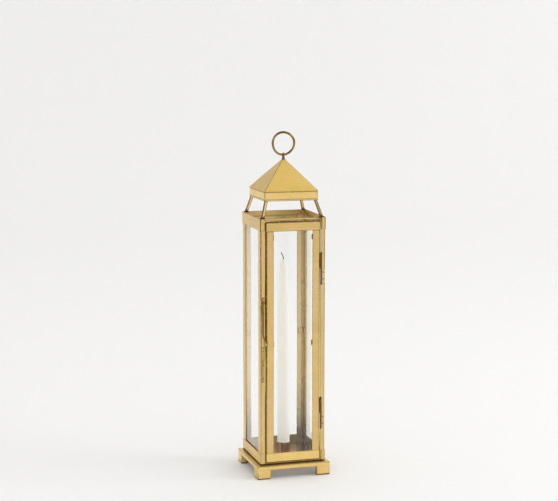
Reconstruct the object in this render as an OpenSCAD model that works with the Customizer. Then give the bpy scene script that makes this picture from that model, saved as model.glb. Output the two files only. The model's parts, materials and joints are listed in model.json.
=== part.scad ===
// Hurricane candle lantern: a tall glazed brass cabin on a footed base, with a
// hinged door, a drop latch, a vented pyramid roof, a carry ring and a taper candle.
// Millimetres. +Z is up, the door faces -Y, and the origin is the centre of the
// square that the feet stand on.

/* [Base] */
// Width of the square base
base_w = 152; // [146:1:170]
// Height from the floor to the top face of the base
base_h = 27; // [24:1:34]
// Depth of the apron folded down around the base
apron_h = 8.4; // [6:0.2:10]
// Length of each leg of a corner foot
foot_leg = 27; // [20:1:34]
// Thickness of a corner foot
foot_t = 12; // [8:1:14]

/* [Cabin] */
// Width of the cabin across its collars
body_w = 136; // [130:1:140]
// Height of the lower collar
lower_collar_h = 20; // [16:1:26]
// Height of the upper collar
upper_collar_h = 24; // [20:1:30]
// Height from the floor to the top of the upper collar
body_top = 527; // [500:1:600]
// Leg of the angle posts, on the sides and the back
post_leg = 18; // [14:1:22]
// Wall thickness of the angle posts
post_t = 1.5; // [1:0.1:2]
// Thickness of the glass panes
glass_t = 2; // [1.6:0.1:2.4]

/* [Door] */
// Face width of the door's stiles
stile_w = 15.5; // [13:0.5:18]
// Face height of the door's rails
rail_h = 19; // [16:0.5:21]
// Depth of the folded edges around the door
door_depth = 7.6; // [6.5:0.1:9]
// Length of one hinge, both knuckles together
hinge_len = 62; // [50:1:80]
// Distance of each hinge from mid height of the door
hinge_spread = 148; // [130:1:170]

/* [Latch] */
// Height of the latch pivot above the floor
latch_z = 360; // [350:1:370]
// Length of the latch arm from its pivot to its nose
latch_len = 86; // [80:1:90]
// Radius of the latch arm's rod
latch_rod_r = 1.2; // [1:0.1:1.3]

/* [Roof] */
// Width of the roof band
roof_w = 111; // [104:1:113]
// Height of the open vent between the upper collar and the roof band
vent_h = 33; // [28:1:40]
// Height of the roof band
band_h = 18; // [14:1:22]
// Height of the pyramid above the band
pyramid_h = 63; // [55:1:70]
// Width of the square roof struts
strut_w = 6; // [4:0.1:6.5]

/* [Ring] */
// Radius of the carry ring, to the centre of its wire
ring_r = 22.4; // [20:0.2:26]
// Radius of the ring's wire
ring_wire_r = 2.3; // [1.8:0.1:2.6]

/* [Candle] */
// Radius of the candle where it stands in its cup
candle_r = 12.7; // [11.5:0.05:13]
// Height of the candle from its butt to its shoulder
candle_len = 384; // [300:1:410]
// Outer radius of the candle cup
cup_r = 14.3; // [14:0.1:15.5]
// Height of the candle cup
cup_h = 25; // [20:1:30]

/* [Hidden] */
$fn = 64;

sheet = 1;                       // folded brass sheet
clearance = 0.3;                 // gap left between pieces that move past each other
elbow = 1.05;                    // ball at a bend, against the radius of its rod
pad_t = 1.2;                     // foot pads
pad_inset = 1;
plinth_inset = 13;               // recess of the plinth behind the base's edge

plinth_h = 3;
body_z = base_h + plinth_h;      // underside of the cabin
pan_top = body_z + sheet;
half = body_w / 2;               // outer face of the collars
post_face = half - sheet;        // outer face of the posts
glass_face = post_face - post_t; // outer face of the fixed panes
glass_half = 60;                 // half width of a fixed pane
cabin_ceiling = body_top - 8;    // top of the posts
glass_top = cabin_ceiling - 2;

left_flange = 9.9;               // front leg of the left post, beside the latch
right_flange = 9.9;              // front leg of the right post, beside the hinges
corner_return = 9;               // front returns of both collars
lip_h = 3.5;                     // strip of the upper collar above the door
gusset = 13;                     // corner plates that carry the struts
gusset_t = 1.5;

door_left = -55.6;
door_right = 56;
door_bottom = pan_top + 0.5;
door_top = body_top - lip_h - 3.5;
door_front = -half;
door_t = 1.5;                    // face plate of the door frame
return_t = 1.2;                  // folded edge of the door frame
door_back = door_front + door_depth;
door_mid = (door_bottom + door_top) / 2;
door_glass_y = door_front + door_t;

clip_t = 0.8;                    // glass clips
clip_h = 11;
clip_zs = [door_bottom + rail_h + 9, door_mid, door_top - rail_h - 13];

hinge_x = 58;
hinge_y = -69.6;
knuckle_r = 2.1;
pin_r = 1.05;
pin_clear = 0.1;
leaf_w = 8;
hinge_zs = [door_mid - hinge_spread, door_mid + hinge_spread];

latch_x = -62.5;
latch_y = door_front - 2.6;      // plane in which the latch arm swings
latch_plate_t = 2;
keeper_z = latch_z - latch_len + 3;

band_z = body_top + vent_h;      // underside of the roof band
band_top = band_z + band_h;
roof_half = roof_w / 2;
ledge_z = band_z + 6;            // ledge inside the band that the struts meet
ledge_w = 12.5;
eave = 0.5;                      // overhang of the pyramid over the band
cap_cut = 2.2;                   // flat on the tip of the pyramid, below its apex
apex_z = band_top + pyramid_h;
flat_z = apex_z - cap_cut;

eye_r = ring_wire_r + 1.4;
eye_hole_r = ring_wire_r + 0.45;
eye_w = 3.2;
eye_z = flat_z + 8.8;            // centre of the hole in the finial eye
ring_z = eye_z + ring_r;

cup_floor = 3;
candle_z = pan_top + cup_floor;
shoulder_r = candle_r * 0.7;     // the taper's radius at its shoulder
tip_h = 17;
wick_r = 1;
wick_socket = 5;
wick_neck = 2;                   // straight part of the wick above the wax
wick_len = 13;                   // its leaning part
wick_lean = 22;

polished_brass = [0.86, 0.74, 0.45];
aged_brass = [0.72, 0.58, 0.32];
clear_glass = [0.9, 0.95, 0.94, 0.3];

// A box given by its two opposite corners
module box(low, high) {
    translate(low) cube(high - low);
}

// Four copies of the front left corner piece, mirrored to one corner by signs
module at_corner(sx, sy) {
    mirror([sx < 0 ? 0 : 1, 0, 0]) mirror([0, sy < 0 ? 0 : 1, 0]) children();
}

// ---- base ----

// Shallow tray: a flat top with an apron folded down on all four sides
module base_tray() {
    inner = base_w / 2 - sheet * 1.2;
    color(polished_brass) difference() {
        box([-base_w / 2, -base_w / 2, base_h - apron_h], [base_w / 2, base_w / 2, base_h]);
        box([-inner, -inner, base_h - apron_h - 1], [inner, inner, base_h - sheet * 1.2]);
    }
}

// L outline with its corner at the front left, legs along +X and +Y
module corner_outline(corner, leg, t) {
    polygon([
        [corner, corner], [corner + leg, corner], [corner + leg, corner + t],
        [corner + t, corner + t], [corner + t, corner + leg], [corner, corner + leg]
    ]);
}

module foot(sx, sy) {
    color(polished_brass) at_corner(sx, sy)
        translate([0, 0, pad_t])
            linear_extrude(base_h - apron_h - pad_t)
                corner_outline(-base_w / 2, foot_leg, foot_t);
}

module foot_pads() {
    color("black")
        for (sx = [-1, 1], sy = [-1, 1])
            at_corner(sx, sy)
                linear_extrude(pad_t)
                    corner_outline(-base_w / 2 + pad_inset, foot_leg - 2 * pad_inset,
                                   foot_t - 2 * pad_inset);
}

// Recessed spacer that leaves a shadow gap between the base and the cabin
module plinth() {
    reach = base_w / 2 - plinth_inset;
    color(aged_brass) box([-reach, -reach, base_h], [reach, reach, body_z]);
}

module floor_pan() {
    color(polished_brass)
        box([-post_face, -post_face, body_z], [post_face, post_face, pan_top]);
}

// ---- cabin ----

// Plan of a collar: three walls and two short returns at the front corners
module collar_outline() {
    difference() {
        square(body_w, center = true);
        square(2 * post_face, center = true);
        translate([-half + corner_return, -half - 1])
            square([body_w - 2 * corner_return, sheet + 2]);
    }
}

module lower_collar() {
    color(polished_brass)
        translate([0, 0, body_z]) linear_extrude(lower_collar_h) collar_outline();
}

// Collar with a strip over the door and a plate in each corner for the struts
module upper_collar() {
    color(polished_brass) {
        translate([0, 0, body_top - upper_collar_h])
            linear_extrude(upper_collar_h) collar_outline();
        box([-half + corner_return, -half, body_top - lip_h],
            [half - corner_return, -post_face, body_top]);
        for (sx = [-1, 1], sy = [-1, 1])
            at_corner(sx, sy)
                box([-post_face, -post_face, body_top - gusset_t],
                    [-post_face + gusset, -post_face + gusset, body_top]);
    }
}

// Angle post at the front left, with front_leg along X and the full leg along Y
module angle_post(sx, sy, front_leg) {
    color(polished_brass) at_corner(sx, sy) {
        box([-post_face, -post_face, pan_top],
            [-post_face + front_leg, -glass_face, cabin_ceiling]);
        box([-post_face, -glass_face, pan_top],
            [-glass_face, -post_face + post_leg, cabin_ceiling]);
    }
}

// Fixed pane on the left, held behind the posts
module side_pane() {
    color(clear_glass)
        box([-glass_face, -glass_half, pan_top], [-glass_face + glass_t, glass_half, glass_top]);
}

// Folded clip on the left side: soldered to a post, stepped over the pane's edge
module pane_clip(z) {
    step_y = glass_half + 1;
    tab_y = glass_half - 9;
    for (side = [-1, 1])
        mirror([0, side < 0 ? 0 : 1, 0])
            translate([-glass_face, 0, z - clip_h / 2])
                linear_extrude(clip_h)
                    polygon([
                        [0, -glass_half], [0, -step_y - 3], [clip_t, -step_y - 3],
                        [clip_t, -step_y], [glass_t + clip_t, -step_y],
                        [glass_t + clip_t, -tab_y], [glass_t, -tab_y], [glass_t, -glass_half]
                    ]);
}

module side_clips() {
    color(aged_brass) for (z = clip_zs) pane_clip(z);
}

// ---- door ----

// Face plate of the door frame with a folded edge on its outer side
module door_stile(left) {
    outer = left ? door_left : door_right;
    face_in = left ? outer + stile_w : outer - stile_w;
    fold_in = left ? outer + return_t : outer - return_t;
    z0 = door_bottom + rail_h;
    z1 = door_top - rail_h;
    color(polished_brass) {
        box([min(outer, face_in), door_front, z0], [max(outer, face_in), door_glass_y, z1]);
        box([min(outer, fold_in), door_glass_y, z0], [max(outer, fold_in), door_back, z1]);
    }
}

// Rail across the whole door: face plate, folded ends and one folded long edge
module door_rail(top) {
    z0 = top ? door_top - rail_h : door_bottom;
    edge_z = top ? door_top - return_t : door_bottom;
    color(polished_brass) {
        box([door_left, door_front, z0], [door_right, door_glass_y, z0 + rail_h]);
        box([door_left, door_glass_y, z0], [door_left + return_t, door_back, z0 + rail_h]);
        box([door_right - return_t, door_glass_y, z0], [door_right, door_back, z0 + rail_h]);
        box([door_left + return_t, door_glass_y, edge_z],
            [door_right - return_t, door_back, edge_z + return_t]);
    }
}

module door_glass() {
    edge = return_t + 0.6;
    color(clear_glass)
        box([door_left + edge, door_glass_y, door_bottom + edge],
            [door_right - edge, door_glass_y + glass_t, door_top - edge]);
}

// Clips behind the door glass: three on each stile, reaching just past its edge
module door_glass_clips() {
    back = door_glass_y + glass_t;
    color(aged_brass) for (z = clip_zs) translate([0, 0, z - clip_h / 2]) {
        box([door_left + return_t, back, 0], [door_left + stile_w + 1.5, back + clip_t, clip_h]);
        box([door_left + return_t, back + clip_t, 0],
            [door_left + return_t + clip_t, back + clip_t + 2, clip_h]);
        box([door_right - stile_w - 1.5, back, 0], [door_right - return_t, back + clip_t, clip_h]);
        box([door_right - return_t - clip_t, back + clip_t, 0],
            [door_right - return_t, back + clip_t + 2, clip_h]);
    }
}

// ---- hinges ----

// Knuckle with a true bore; the door's knuckle turns on the pin above the post's
module knuckle(z, h, bore_r) {
    translate([hinge_x, hinge_y, z]) difference() {
        cylinder(r = knuckle_r, h = h);
        translate([0, 0, -1]) cylinder(r = bore_r, h = h + 2);
    }
}

module hinge_leaf_post(z) {
    low = z - hinge_len / 2;
    h = hinge_len / 2 - clearance / 2;
    color(polished_brass) {
        knuckle(low, h, pin_r + pin_clear / 2);
        difference() {
            box([hinge_x, -half, low], [hinge_x + leaf_w, -post_face, low + h]);
            translate([hinge_x, hinge_y, low - 1])
                cylinder(r = pin_r + pin_clear / 2, h = h + 2);
        }
    }
}

module hinge_leaf_door(z) {
    low = z + clearance / 2;
    h = hinge_len / 2 - clearance / 2;
    color(polished_brass) {
        knuckle(low, h, pin_r + pin_clear);
        difference() {
            box([door_right, hinge_y, low], [door_right + 0.8, door_back - 1, low + h]);
            translate([hinge_x, hinge_y, low - 1]) cylinder(r = pin_r + pin_clear, h = h + 2);
        }
    }
}

// Pin with a domed tip at each end, fixed in the post's knuckle
module hinge_pin(z) {
    tip = 1.7;
    tip_r = knuckle_r * 0.9;
    profile = [
        [0, 0], [tip_r * 0.6, 0.2], [tip_r, tip * 0.55], [tip_r, tip], [pin_r, tip],
        [pin_r, tip + hinge_len + clearance], [tip_r, tip + hinge_len + clearance],
        [tip_r, 1.45 * tip + hinge_len + clearance],
        [tip_r * 0.6, 2 * tip - 0.2 + hinge_len + clearance],
        [0, 2 * tip + hinge_len + clearance]
    ];
    color(aged_brass)
        translate([hinge_x, hinge_y, z - hinge_len / 2 - tip]) rotate_extrude() polygon(profile);
}

// Low domed rivet head whose flat side is at y = 0 and whose dome faces -Y
module rivet_head(r, h) {
    rotate([90, 0, 0]) cylinder(r1 = r, r2 = r * 0.55, h = h);
}

module hinge_rivets() {
    color(aged_brass)
        for (z = hinge_zs, drop = [0.3, 0.75])
            translate([hinge_x + leaf_w * 0.62, -half, z - drop * hinge_len / 2])
                rivet_head(1.5, 0.7);
}

// ---- latch ----

// Upper plate on the left post that carries the latch pivot
module latch_plate() {
    color(aged_brass)
        box([latch_x - 2.6, -post_face - latch_plate_t, latch_z - 23],
            [latch_x + 4.4, -post_face, latch_z + 10]);
}

// Rivet through the arm's eye, with a flat head in front of the arm
module latch_pivot() {
    shank = 4.2;
    color(aged_brass) translate([latch_x, -post_face - latch_plate_t, latch_z])
        rotate([90, 0, 0]) {
            cylinder(r = 1.3, h = shank);
            translate([0, 0, shank]) cylinder(r1 = 2.6, r2 = 1.6, h = 1.2);
        }
}

// Arm that hangs from the pivot; its foot bends across the gap to the keeper
module latch_arm() {
    eye_t = 2.2 * latch_rod_r;
    bend_z = -latch_len + 18;
    nose = [7.6, -latch_len + 3];
    color(aged_brass) translate([latch_x, latch_y, latch_z]) {
        difference() {
            rotate([90, 0, 0]) translate([0, 0, -eye_t / 2]) cylinder(r = 3.6, h = eye_t);
            rotate([90, 0, 0]) translate([0, 0, -eye_t]) cylinder(r = 1.4, h = 2 * eye_t);
        }
        translate([0, 0, bend_z]) cylinder(r = latch_rod_r, h = -bend_z - 2.4);
        translate([0, 0, bend_z]) sphere(r = latch_rod_r * elbow);
        translate([0, 0, bend_z])
            rotate([0, 180 - atan2(nose[0], bend_z - nose[1]), 0])
                cylinder(r = latch_rod_r, h = norm([nose[0], bend_z - nose[1]]));
        translate([nose[0], 0, nose[1]]) sphere(r = latch_rod_r * elbow);
    }
}

// Lower plate on the left post: a tapered rest with a narrow tail below its rivets
module latch_rest() {
    top = latch_z - latch_len - 4;
    color(aged_brass)
        translate([latch_x, -post_face, 0]) rotate([90, 0, 0]) linear_extrude(1.5)
            polygon([
                [-4, top], [3.6, top], [3.6, top - 24], [2.4, top - 32], [2.4, top - 72],
                [-2.8, top - 72], [-2.8, top - 32], [-4, top - 24]
            ]);
}

module latch_rest_rivets() {
    color(aged_brass)
        for (drop = [8, 37, 64])
            translate([latch_x - 0.2, -post_face - 1.5, latch_z - latch_len - 4 - drop])
                rivet_head(1.4, 0.8);
}

// Thin tab on the door's edge that the arm's foot holds shut
module latch_keeper() {
    color(polished_brass)
        box([door_left - 4.4, door_front - sheet, keeper_z - 4.5],
            [door_left + 3.4, door_front, keeper_z + 4.5]);
}

// ---- roof ----

// Square bar leaning in from a corner plate to the ledge inside the roof band
module strut(sx, sy) {
    foot_at = -post_face + 3;
    head_at = -roof_half + sheet + 2;
    slice = 0.01;
    color(polished_brass) at_corner(sx, sy)
        hull() {
            translate([foot_at, foot_at, body_top]) cube([strut_w, strut_w, slice]);
            translate([head_at, head_at, ledge_z - slice]) cube([strut_w, strut_w, slice]);
        }
}

// Square frame of sheet, between the half widths inner and outer
module square_frame(outer, inner, z, h) {
    translate([0, 0, z]) linear_extrude(h) difference() {
        square(2 * outer, center = true);
        square(2 * inner, center = true);
    }
}

module roof_band() {
    inner = roof_half - sheet;
    color(polished_brass) {
        square_frame(roof_half, inner, band_z, band_h);
        square_frame(roof_half + 0.4, roof_half, band_z, 2.4);
        square_frame(inner, inner - ledge_w, ledge_z, sheet);
    }
}

// Four sided pyramid of the given half width, cut flat at the height top
module pyramid(reach, z, apex, top) {
    tip = reach * (apex - top) / (apex - z);
    polyhedron(
        points = [
            [-reach, -reach, z], [reach, -reach, z], [reach, reach, z], [-reach, reach, z],
            [-tip, -tip, top], [tip, -tip, top], [tip, tip, top], [-tip, tip, top]
        ],
        faces = [
            [0, 1, 2, 3], [7, 6, 5, 4], [0, 4, 5, 1], [1, 5, 6, 2], [2, 6, 7, 3], [3, 7, 4, 0]
        ]
    );
}

module roof_pyramid() {
    outer = roof_half + eave;
    wall = 1.6;
    lift = wall * pyramid_h / outer;
    color(polished_brass) difference() {
        pyramid(outer, band_top, apex_z, flat_z);
        translate([0, 0, -0.001])
            pyramid(outer - wall, band_top, apex_z - lift, flat_z - 5);
    }
}

// Short stud with a round eye across it, which holds the carry ring
module finial_eye() {
    color(aged_brass) difference() {
        union() {
            translate([0, 0, flat_z]) cylinder(r1 = 3, r2 = 2.6, h = eye_z - eye_hole_r - 0.4 - flat_z);
            translate([-eye_w / 2, 0, eye_z]) rotate([0, 90, 0]) cylinder(r = eye_r, h = eye_w);
        }
        translate([-eye_w, 0, eye_z]) rotate([0, 90, 0]) cylinder(r = eye_hole_r, h = 2 * eye_w);
    }
}

module carry_ring() {
    color(polished_brass)
        translate([0, 0, ring_z]) rotate([90, 0, 0])
            rotate_extrude() translate([ring_r, 0]) circle(r = ring_wire_r);
}

// ---- candle ----

module candle_cup() {
    color(polished_brass) translate([0, 0, pan_top]) difference() {
        cylinder(r = cup_r, h = cup_h);
        translate([0, 0, cup_floor]) cylinder(r = candle_r + clearance, h = cup_h);
    }
}

// Taper: parallel in its cup, then narrowing to a rounded tip with a wick hole
module candle() {
    profile = [
        [0, 0], [candle_r - 0.6, 0], [candle_r, 0.6], [candle_r, candle_len * 0.56],
        [candle_r * 0.95, candle_len * 0.77], [candle_r * 0.88, candle_len * 0.87],
        [candle_r * 0.78, candle_len * 0.96], [shoulder_r, candle_len],
        [shoulder_r * 0.93, candle_len + tip_h * 0.35],
        [shoulder_r * 0.72, candle_len + tip_h * 0.65],
        [shoulder_r * 0.42, candle_len + tip_h * 0.88],
        [wick_r * 2, candle_len + tip_h], [wick_r + 0.05, candle_len + tip_h],
        [wick_r + 0.05, candle_len + tip_h - wick_socket], [0, candle_len + tip_h - wick_socket]
    ];
    color("ivory") translate([0, 0, candle_z]) rotate_extrude() polygon(profile);
}

// Wick: upright in the wax, then leaning to the left above it
module candle_wick() {
    bend = wick_socket + wick_neck;
    color([0.1, 0.09, 0.08])
        translate([0, 0, candle_z + candle_len + tip_h - wick_socket]) {
            cylinder(r = wick_r, h = bend);
            translate([0, 0, bend]) sphere(r = wick_r * elbow);
            translate([0, 0, bend]) rotate([0, -wick_lean, 0]) cylinder(r = wick_r, h = wick_len);
        }
}

// ---- every node by its name ----

base_tray();
foot(-1, -1);  // foot_front_left
foot(1, -1);  // foot_front_right
foot(-1, 1);  // foot_back_left
foot(1, 1);  // foot_back_right
foot_pads();
plinth();
floor_pan();
lower_collar();
angle_post(-1, -1, left_flange);  // post_front_left
angle_post(1, -1, right_flange);  // post_front_right
angle_post(-1, 1, post_leg);  // post_back_left
angle_post(1, 1, post_leg);  // post_back_right
side_pane();  // glass_left
rotate([0, 0, 180]) side_pane();  // glass_right
rotate([0, 0, -90]) side_pane();  // glass_back
side_clips();  // pane_clips_left
rotate([0, 0, 180]) side_clips();  // pane_clips_right
rotate([0, 0, -90]) side_clips();  // pane_clips_back
upper_collar();
strut(-1, -1);  // strut_front_left
strut(1, -1);  // strut_front_right
strut(-1, 1);  // strut_back_left
strut(1, 1);  // strut_back_right
roof_band();
roof_pyramid();
finial_eye();
hinge_leaf_post(hinge_zs[0]);  // hinge_leaf_post_lower
hinge_leaf_post(hinge_zs[1]);  // hinge_leaf_post_upper
hinge_pin(hinge_zs[0]);  // hinge_pin_lower
hinge_pin(hinge_zs[1]);  // hinge_pin_upper
hinge_rivets();
latch_plate();
latch_pivot();
latch_rest();
latch_rest_rivets();
candle_cup();
door_stile(true);  // door_stile_left
door_stile(false);  // door_stile_right
door_rail(true);  // door_rail_top
door_rail(false);  // door_rail_bottom
door_glass();
door_glass_clips();
hinge_leaf_door(hinge_zs[0]);  // hinge_leaf_door_lower
hinge_leaf_door(hinge_zs[1]);  // hinge_leaf_door_upper
latch_keeper();
latch_arm();
carry_ring();
candle();
candle_wick();
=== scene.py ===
import json
import math
import bmesh
import bpy
import numpy as np
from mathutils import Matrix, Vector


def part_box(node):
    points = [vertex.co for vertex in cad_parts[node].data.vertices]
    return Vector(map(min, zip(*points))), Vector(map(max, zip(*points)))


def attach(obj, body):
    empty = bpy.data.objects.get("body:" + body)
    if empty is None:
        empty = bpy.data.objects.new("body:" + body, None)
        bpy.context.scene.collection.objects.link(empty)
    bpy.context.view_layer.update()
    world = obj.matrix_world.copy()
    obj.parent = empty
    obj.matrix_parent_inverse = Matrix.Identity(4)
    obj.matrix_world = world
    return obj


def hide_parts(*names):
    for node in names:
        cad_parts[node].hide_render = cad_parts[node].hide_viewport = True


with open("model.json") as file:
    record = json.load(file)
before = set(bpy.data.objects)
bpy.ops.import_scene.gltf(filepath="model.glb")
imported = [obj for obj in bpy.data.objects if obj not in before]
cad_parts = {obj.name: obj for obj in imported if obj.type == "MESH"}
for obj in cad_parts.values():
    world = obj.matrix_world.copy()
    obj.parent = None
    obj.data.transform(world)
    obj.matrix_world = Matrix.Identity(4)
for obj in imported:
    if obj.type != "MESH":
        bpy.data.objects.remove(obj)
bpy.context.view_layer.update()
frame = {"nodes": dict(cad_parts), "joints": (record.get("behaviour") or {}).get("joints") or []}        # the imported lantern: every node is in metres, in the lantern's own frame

nodes = frame["nodes"]
print("frame loaded:", len(nodes), "nodes")

mm = 0.001
sheet = {
    "thick": 1.0 * mm,   # brass sheet
    "bend": 1.5 * mm,    # outside radius of a fold
    "fold": 0.4 * mm,    # inside radius of a fold
    "edge": 0.3 * mm,    # softened cut edge
    "worn": 1.6 * mm,    # how far the wear reaches from an edge
    "warp": 0.18 * mm,   # how far hand work leaves a face off true
}


def box(node):
    # lowest and highest corner of a node, as arrays
    low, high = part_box(node)
    return np.array(low), np.array(high)


def jointAt(name):
    # where a joint stands, in metres
    return [joint["pos_m"] for joint in frame["joints"] if joint["name"] == name][0]


# A shape is a grid of points (row, column), the bend at each, its sheet coordinates, and whether
# its rows close on themselves
def handWarp(points):
    # a smooth field of small shifts, three crossed waves a hand's width long, the same for all
    # pieces so that what touches goes on touching
    waves = np.array([[23.0, 31.0, 17.0], [37.0, 19.0, 27.0], [29.0, 41.0, 13.0]])
    phase = np.array([0.4, 2.1, 4.0])
    return points + sheet["warp"] * np.sin(points @ waves.T + phase)


def roundCorners(corners, radii, steps=4):
    # a closed outline, anticlockwise: each corner gives way to an arc that touches both of its
    # edges, with one flat point either side where the wear ends.
    # Gives points, outward normals and the bend: 1 on an outside fold, -1 on an inside one
    corners = np.asarray(corners, float)
    count = len(corners)
    radii = np.broadcast_to(np.asarray(radii, float), (count,))
    along = np.roll(corners, -1, 0) - corners
    length = np.linalg.norm(along, axis=1)
    along = along / length[:, None]
    before = np.roll(along, 1, 0)
    side = np.stack([before[:, 1], -before[:, 0]], 1)          # outward normal of the edge before
    after = np.stack([along[:, 1], -along[:, 0]], 1)
    turn = np.arctan2(before[:, 0] * along[:, 1] - before[:, 1] * along[:, 0], (before * along).sum(1))
    sign = np.where(turn >= 0, 1.0, -1.0)
    reach = radii * np.tan(np.abs(turn) / 2)
    centre = corners - before * reach[:, None] - side * (radii * sign)[:, None]
    share = np.linspace(0, 1, steps + 1)[None, :]
    angle = turn[:, None] * share
    cos, sin = np.cos(angle), np.sin(angle)
    normal = np.stack([side[:, None, 0] * cos - side[:, None, 1] * sin,
                       side[:, None, 0] * sin + side[:, None, 1] * cos], 2)
    arc = centre[:, None, :] + normal * (radii * sign)[:, None, None]
    free = length - reach - np.roll(reach, -1)                 # straight length after each corner
    runOut = np.minimum(sheet["worn"], free * 0.4)
    runIn = np.roll(runOut, 1)
    first = corners - before * (reach + runIn)[:, None]
    last = corners + along * (reach + runOut)[:, None]
    points = np.concatenate([first[:, None], arc, last[:, None]], 1).reshape(-1, 2)
    normals = np.concatenate([side[:, None], normal, after[:, None]], 1).reshape(-1, 2)
    bend = np.concatenate([np.zeros((count, 1)), np.repeat(sign[:, None], steps + 1, 1),
                           np.zeros((count, 1))], 1).reshape(-1)
    return points, normals, bend


def denser(outline, step):
    # the same closed outline with extra points, evenly spaced, wherever two are more than a step apart
    points, normals, bend = outline
    gap = np.linalg.norm(np.roll(points, -1, 0) - points, axis=1)
    pieces = np.maximum(np.ceil(gap / step).astype(int), 1)
    which = np.repeat(np.arange(len(points)), pieces)
    first = np.repeat(np.cumsum(pieces) - pieces, pieces)
    share = ((np.arange(len(which)) - first) / pieces[which])[:, None]
    following = (which + 1) % len(points)
    return (points[which] * (1 - share) + points[following] * share,
            normals[which] * (1 - share) + normals[following] * share,
            bend[which] * (1 - share[:, 0]) + bend[following] * share[:, 0])


def smoothOutline(points):
    # a closed outline that is already smooth: its normals are square to the line between neighbours
    points = np.asarray(points, float)
    along = np.roll(points, -1, 0) - np.roll(points, 1, 0)
    along /= np.linalg.norm(along, axis=1)[:, None]
    return points, np.stack([along[:, 1], -along[:, 0]], 1), np.zeros(len(points))


def stripOutline(middle, thick):
    # the closed outline of a folded strip: its middle line carried out to both sides by half the
    # thickness, along the bisector at each fold
    middle = np.asarray(middle, float)
    along = np.diff(middle, axis=0)
    along /= np.linalg.norm(along, axis=1)[:, None]
    before = np.vstack([along[:1], along])
    after = np.vstack([along, along[-1:]])
    bisector = before + after
    bisector /= np.linalg.norm(bisector, axis=1)[:, None]
    normal = np.stack([bisector[:, 1], -bisector[:, 0]], 1)
    reach = thick / 2 / np.maximum((bisector * after).sum(1), 0.5)
    return np.vstack([middle + normal * reach[:, None], (middle - normal * reach[:, None])[::-1]])


def extrusion(outline, low, high, edge, rows=10, face=0.0):
    # an outline carried straight from low to high, drawn in by a quarter round at both ends.
    # With a face share, a smaller copy of the outline keeps the wear to the rim of each end.
    # Gives the grid (row, column) of points, bend and sheet coordinates
    points, normals, bend = outline
    quarter = np.linspace(0, math.pi / 2, 4)
    inset = edge * (1 - np.sin(quarter))
    rise = edge * (1 - np.cos(quarter))
    worn = min(sheet["worn"], (high - low) * 0.3)
    middle = np.linspace(low + edge + worn, high - edge - worn, rows)
    heights = np.concatenate([low + rise, middle, (high - rise)[::-1]])
    insets = np.concatenate([inset, np.zeros(rows), inset[::-1]])
    rowBend = np.concatenate([np.ones(4), np.zeros(rows), np.ones(4)])
    flat = points[None] - normals[None] * insets[:, None, None]
    grid = np.concatenate([flat, np.broadcast_to(heights[:, None, None], flat.shape[:2] + (1,))], 2)
    step = np.linalg.norm(np.roll(points, -1, 0) - points, axis=1)
    across = np.concatenate([[0], np.cumsum(step)])
    uv = np.stack(np.broadcast_arrays(heights[:, None], across[None]), 2)
    bends = np.where(bend[None] < 0, bend[None] * (1 - rowBend[:, None]),
                     np.maximum(rowBend[:, None], bend[None]))
    if face:
        centre = grid.mean(axis=1, keepdims=True)
        smaller = centre + (grid - centre) * (1 - face)
        grid = np.concatenate([smaller[:1], grid, smaller[-1:]])
        bends = np.pad(bends, ((1, 1), (0, 0)))
        uv = np.pad(uv, ((1, 1), (0, 0), (0, 0)), mode="edge")
    return grid, bends, uv, False


def squareRing(reach, corner, steps=4, sides=8):
    # one turn of a square with rounded corners: corner centres at reach - corner, plus an arc,
    # with a flat point either side where the wear ends. reach and corner are columns of numbers
    reach = np.atleast_1d(reach).astype(float)[:, None]
    corner = np.minimum(np.atleast_1d(corner).astype(float)[:, None], reach)
    quarter = np.linspace(0, math.pi / 2, steps + 1)
    angle = (np.arange(4)[:, None] * math.pi / 2 + quarter[None] + math.pi).reshape(-1)
    signX = np.repeat([-1, 1, 1, -1], steps + 1)
    signY = np.repeat([-1, -1, 1, 1], steps + 1)
    x = signX * (reach - corner) + corner * np.cos(angle)
    y = signY * (reach - corner) + corner * np.sin(angle)
    shape = (len(reach), 4, steps + 1)
    x, y = x.reshape(shape), y.reshape(shape)
    back = np.minimum(sheet["worn"], (reach - corner) * 0.4)
    turnX, turnY = np.array([0, 1, 0, -1]), np.array([-1, 0, 1, 0])   # travel where an arc starts
    startX, startY = x[..., 0] - back * turnX, y[..., 0] - back * turnY
    endX = x[..., -1] + back * np.roll(turnX, -1)
    endY = y[..., -1] + back * np.roll(turnY, -1)
    share = np.linspace(0, 1, sides + 2)[1:-1]                        # points along the flats
    flatX = endX[..., None] * (1 - share) + np.roll(startX, -1, 1)[..., None] * share
    flatY = endY[..., None] * (1 - share) + np.roll(startY, -1, 1)[..., None] * share
    x = np.concatenate([startX[..., None], x, endX[..., None], flatX], 2)
    y = np.concatenate([startY[..., None], y, endY[..., None], flatY], 2)
    bend = np.tile(np.concatenate([[0], np.ones(steps + 1), np.zeros(sides + 1)]), 4)
    return np.stack([x.reshape(len(reach), -1), y.reshape(len(reach), -1)], 2), bend


def squareTurn(outline, corner, sides=8):
    # a closed outline (reach, height) carried round a square whose corners have the given radii
    points, bend = outline[0], outline[2]
    ring, cornerBend = squareRing(points[:, 0], corner, sides=sides)
    height = np.broadcast_to(points[:, 1, None, None], ring.shape[:2] + (1,))
    step = np.linalg.norm(np.diff(np.vstack([points, points[:1]]), axis=0), axis=1)
    run = np.concatenate([[0], np.cumsum(step)])
    widest = ring[np.argmax(points[:, 0])]
    around = np.linalg.norm(np.diff(np.vstack([widest, widest[:1]]), axis=0), axis=1)
    around = np.concatenate([[0], np.cumsum(around)])
    uv = np.stack(np.broadcast_arrays(around[None], run[:, None]), 2)
    bends = np.where(bend[:, None] < 0, -1.0, np.maximum(bend[:, None], cornerBend[None]))
    return np.concatenate([ring, height], 2), bends, uv, True


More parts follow.
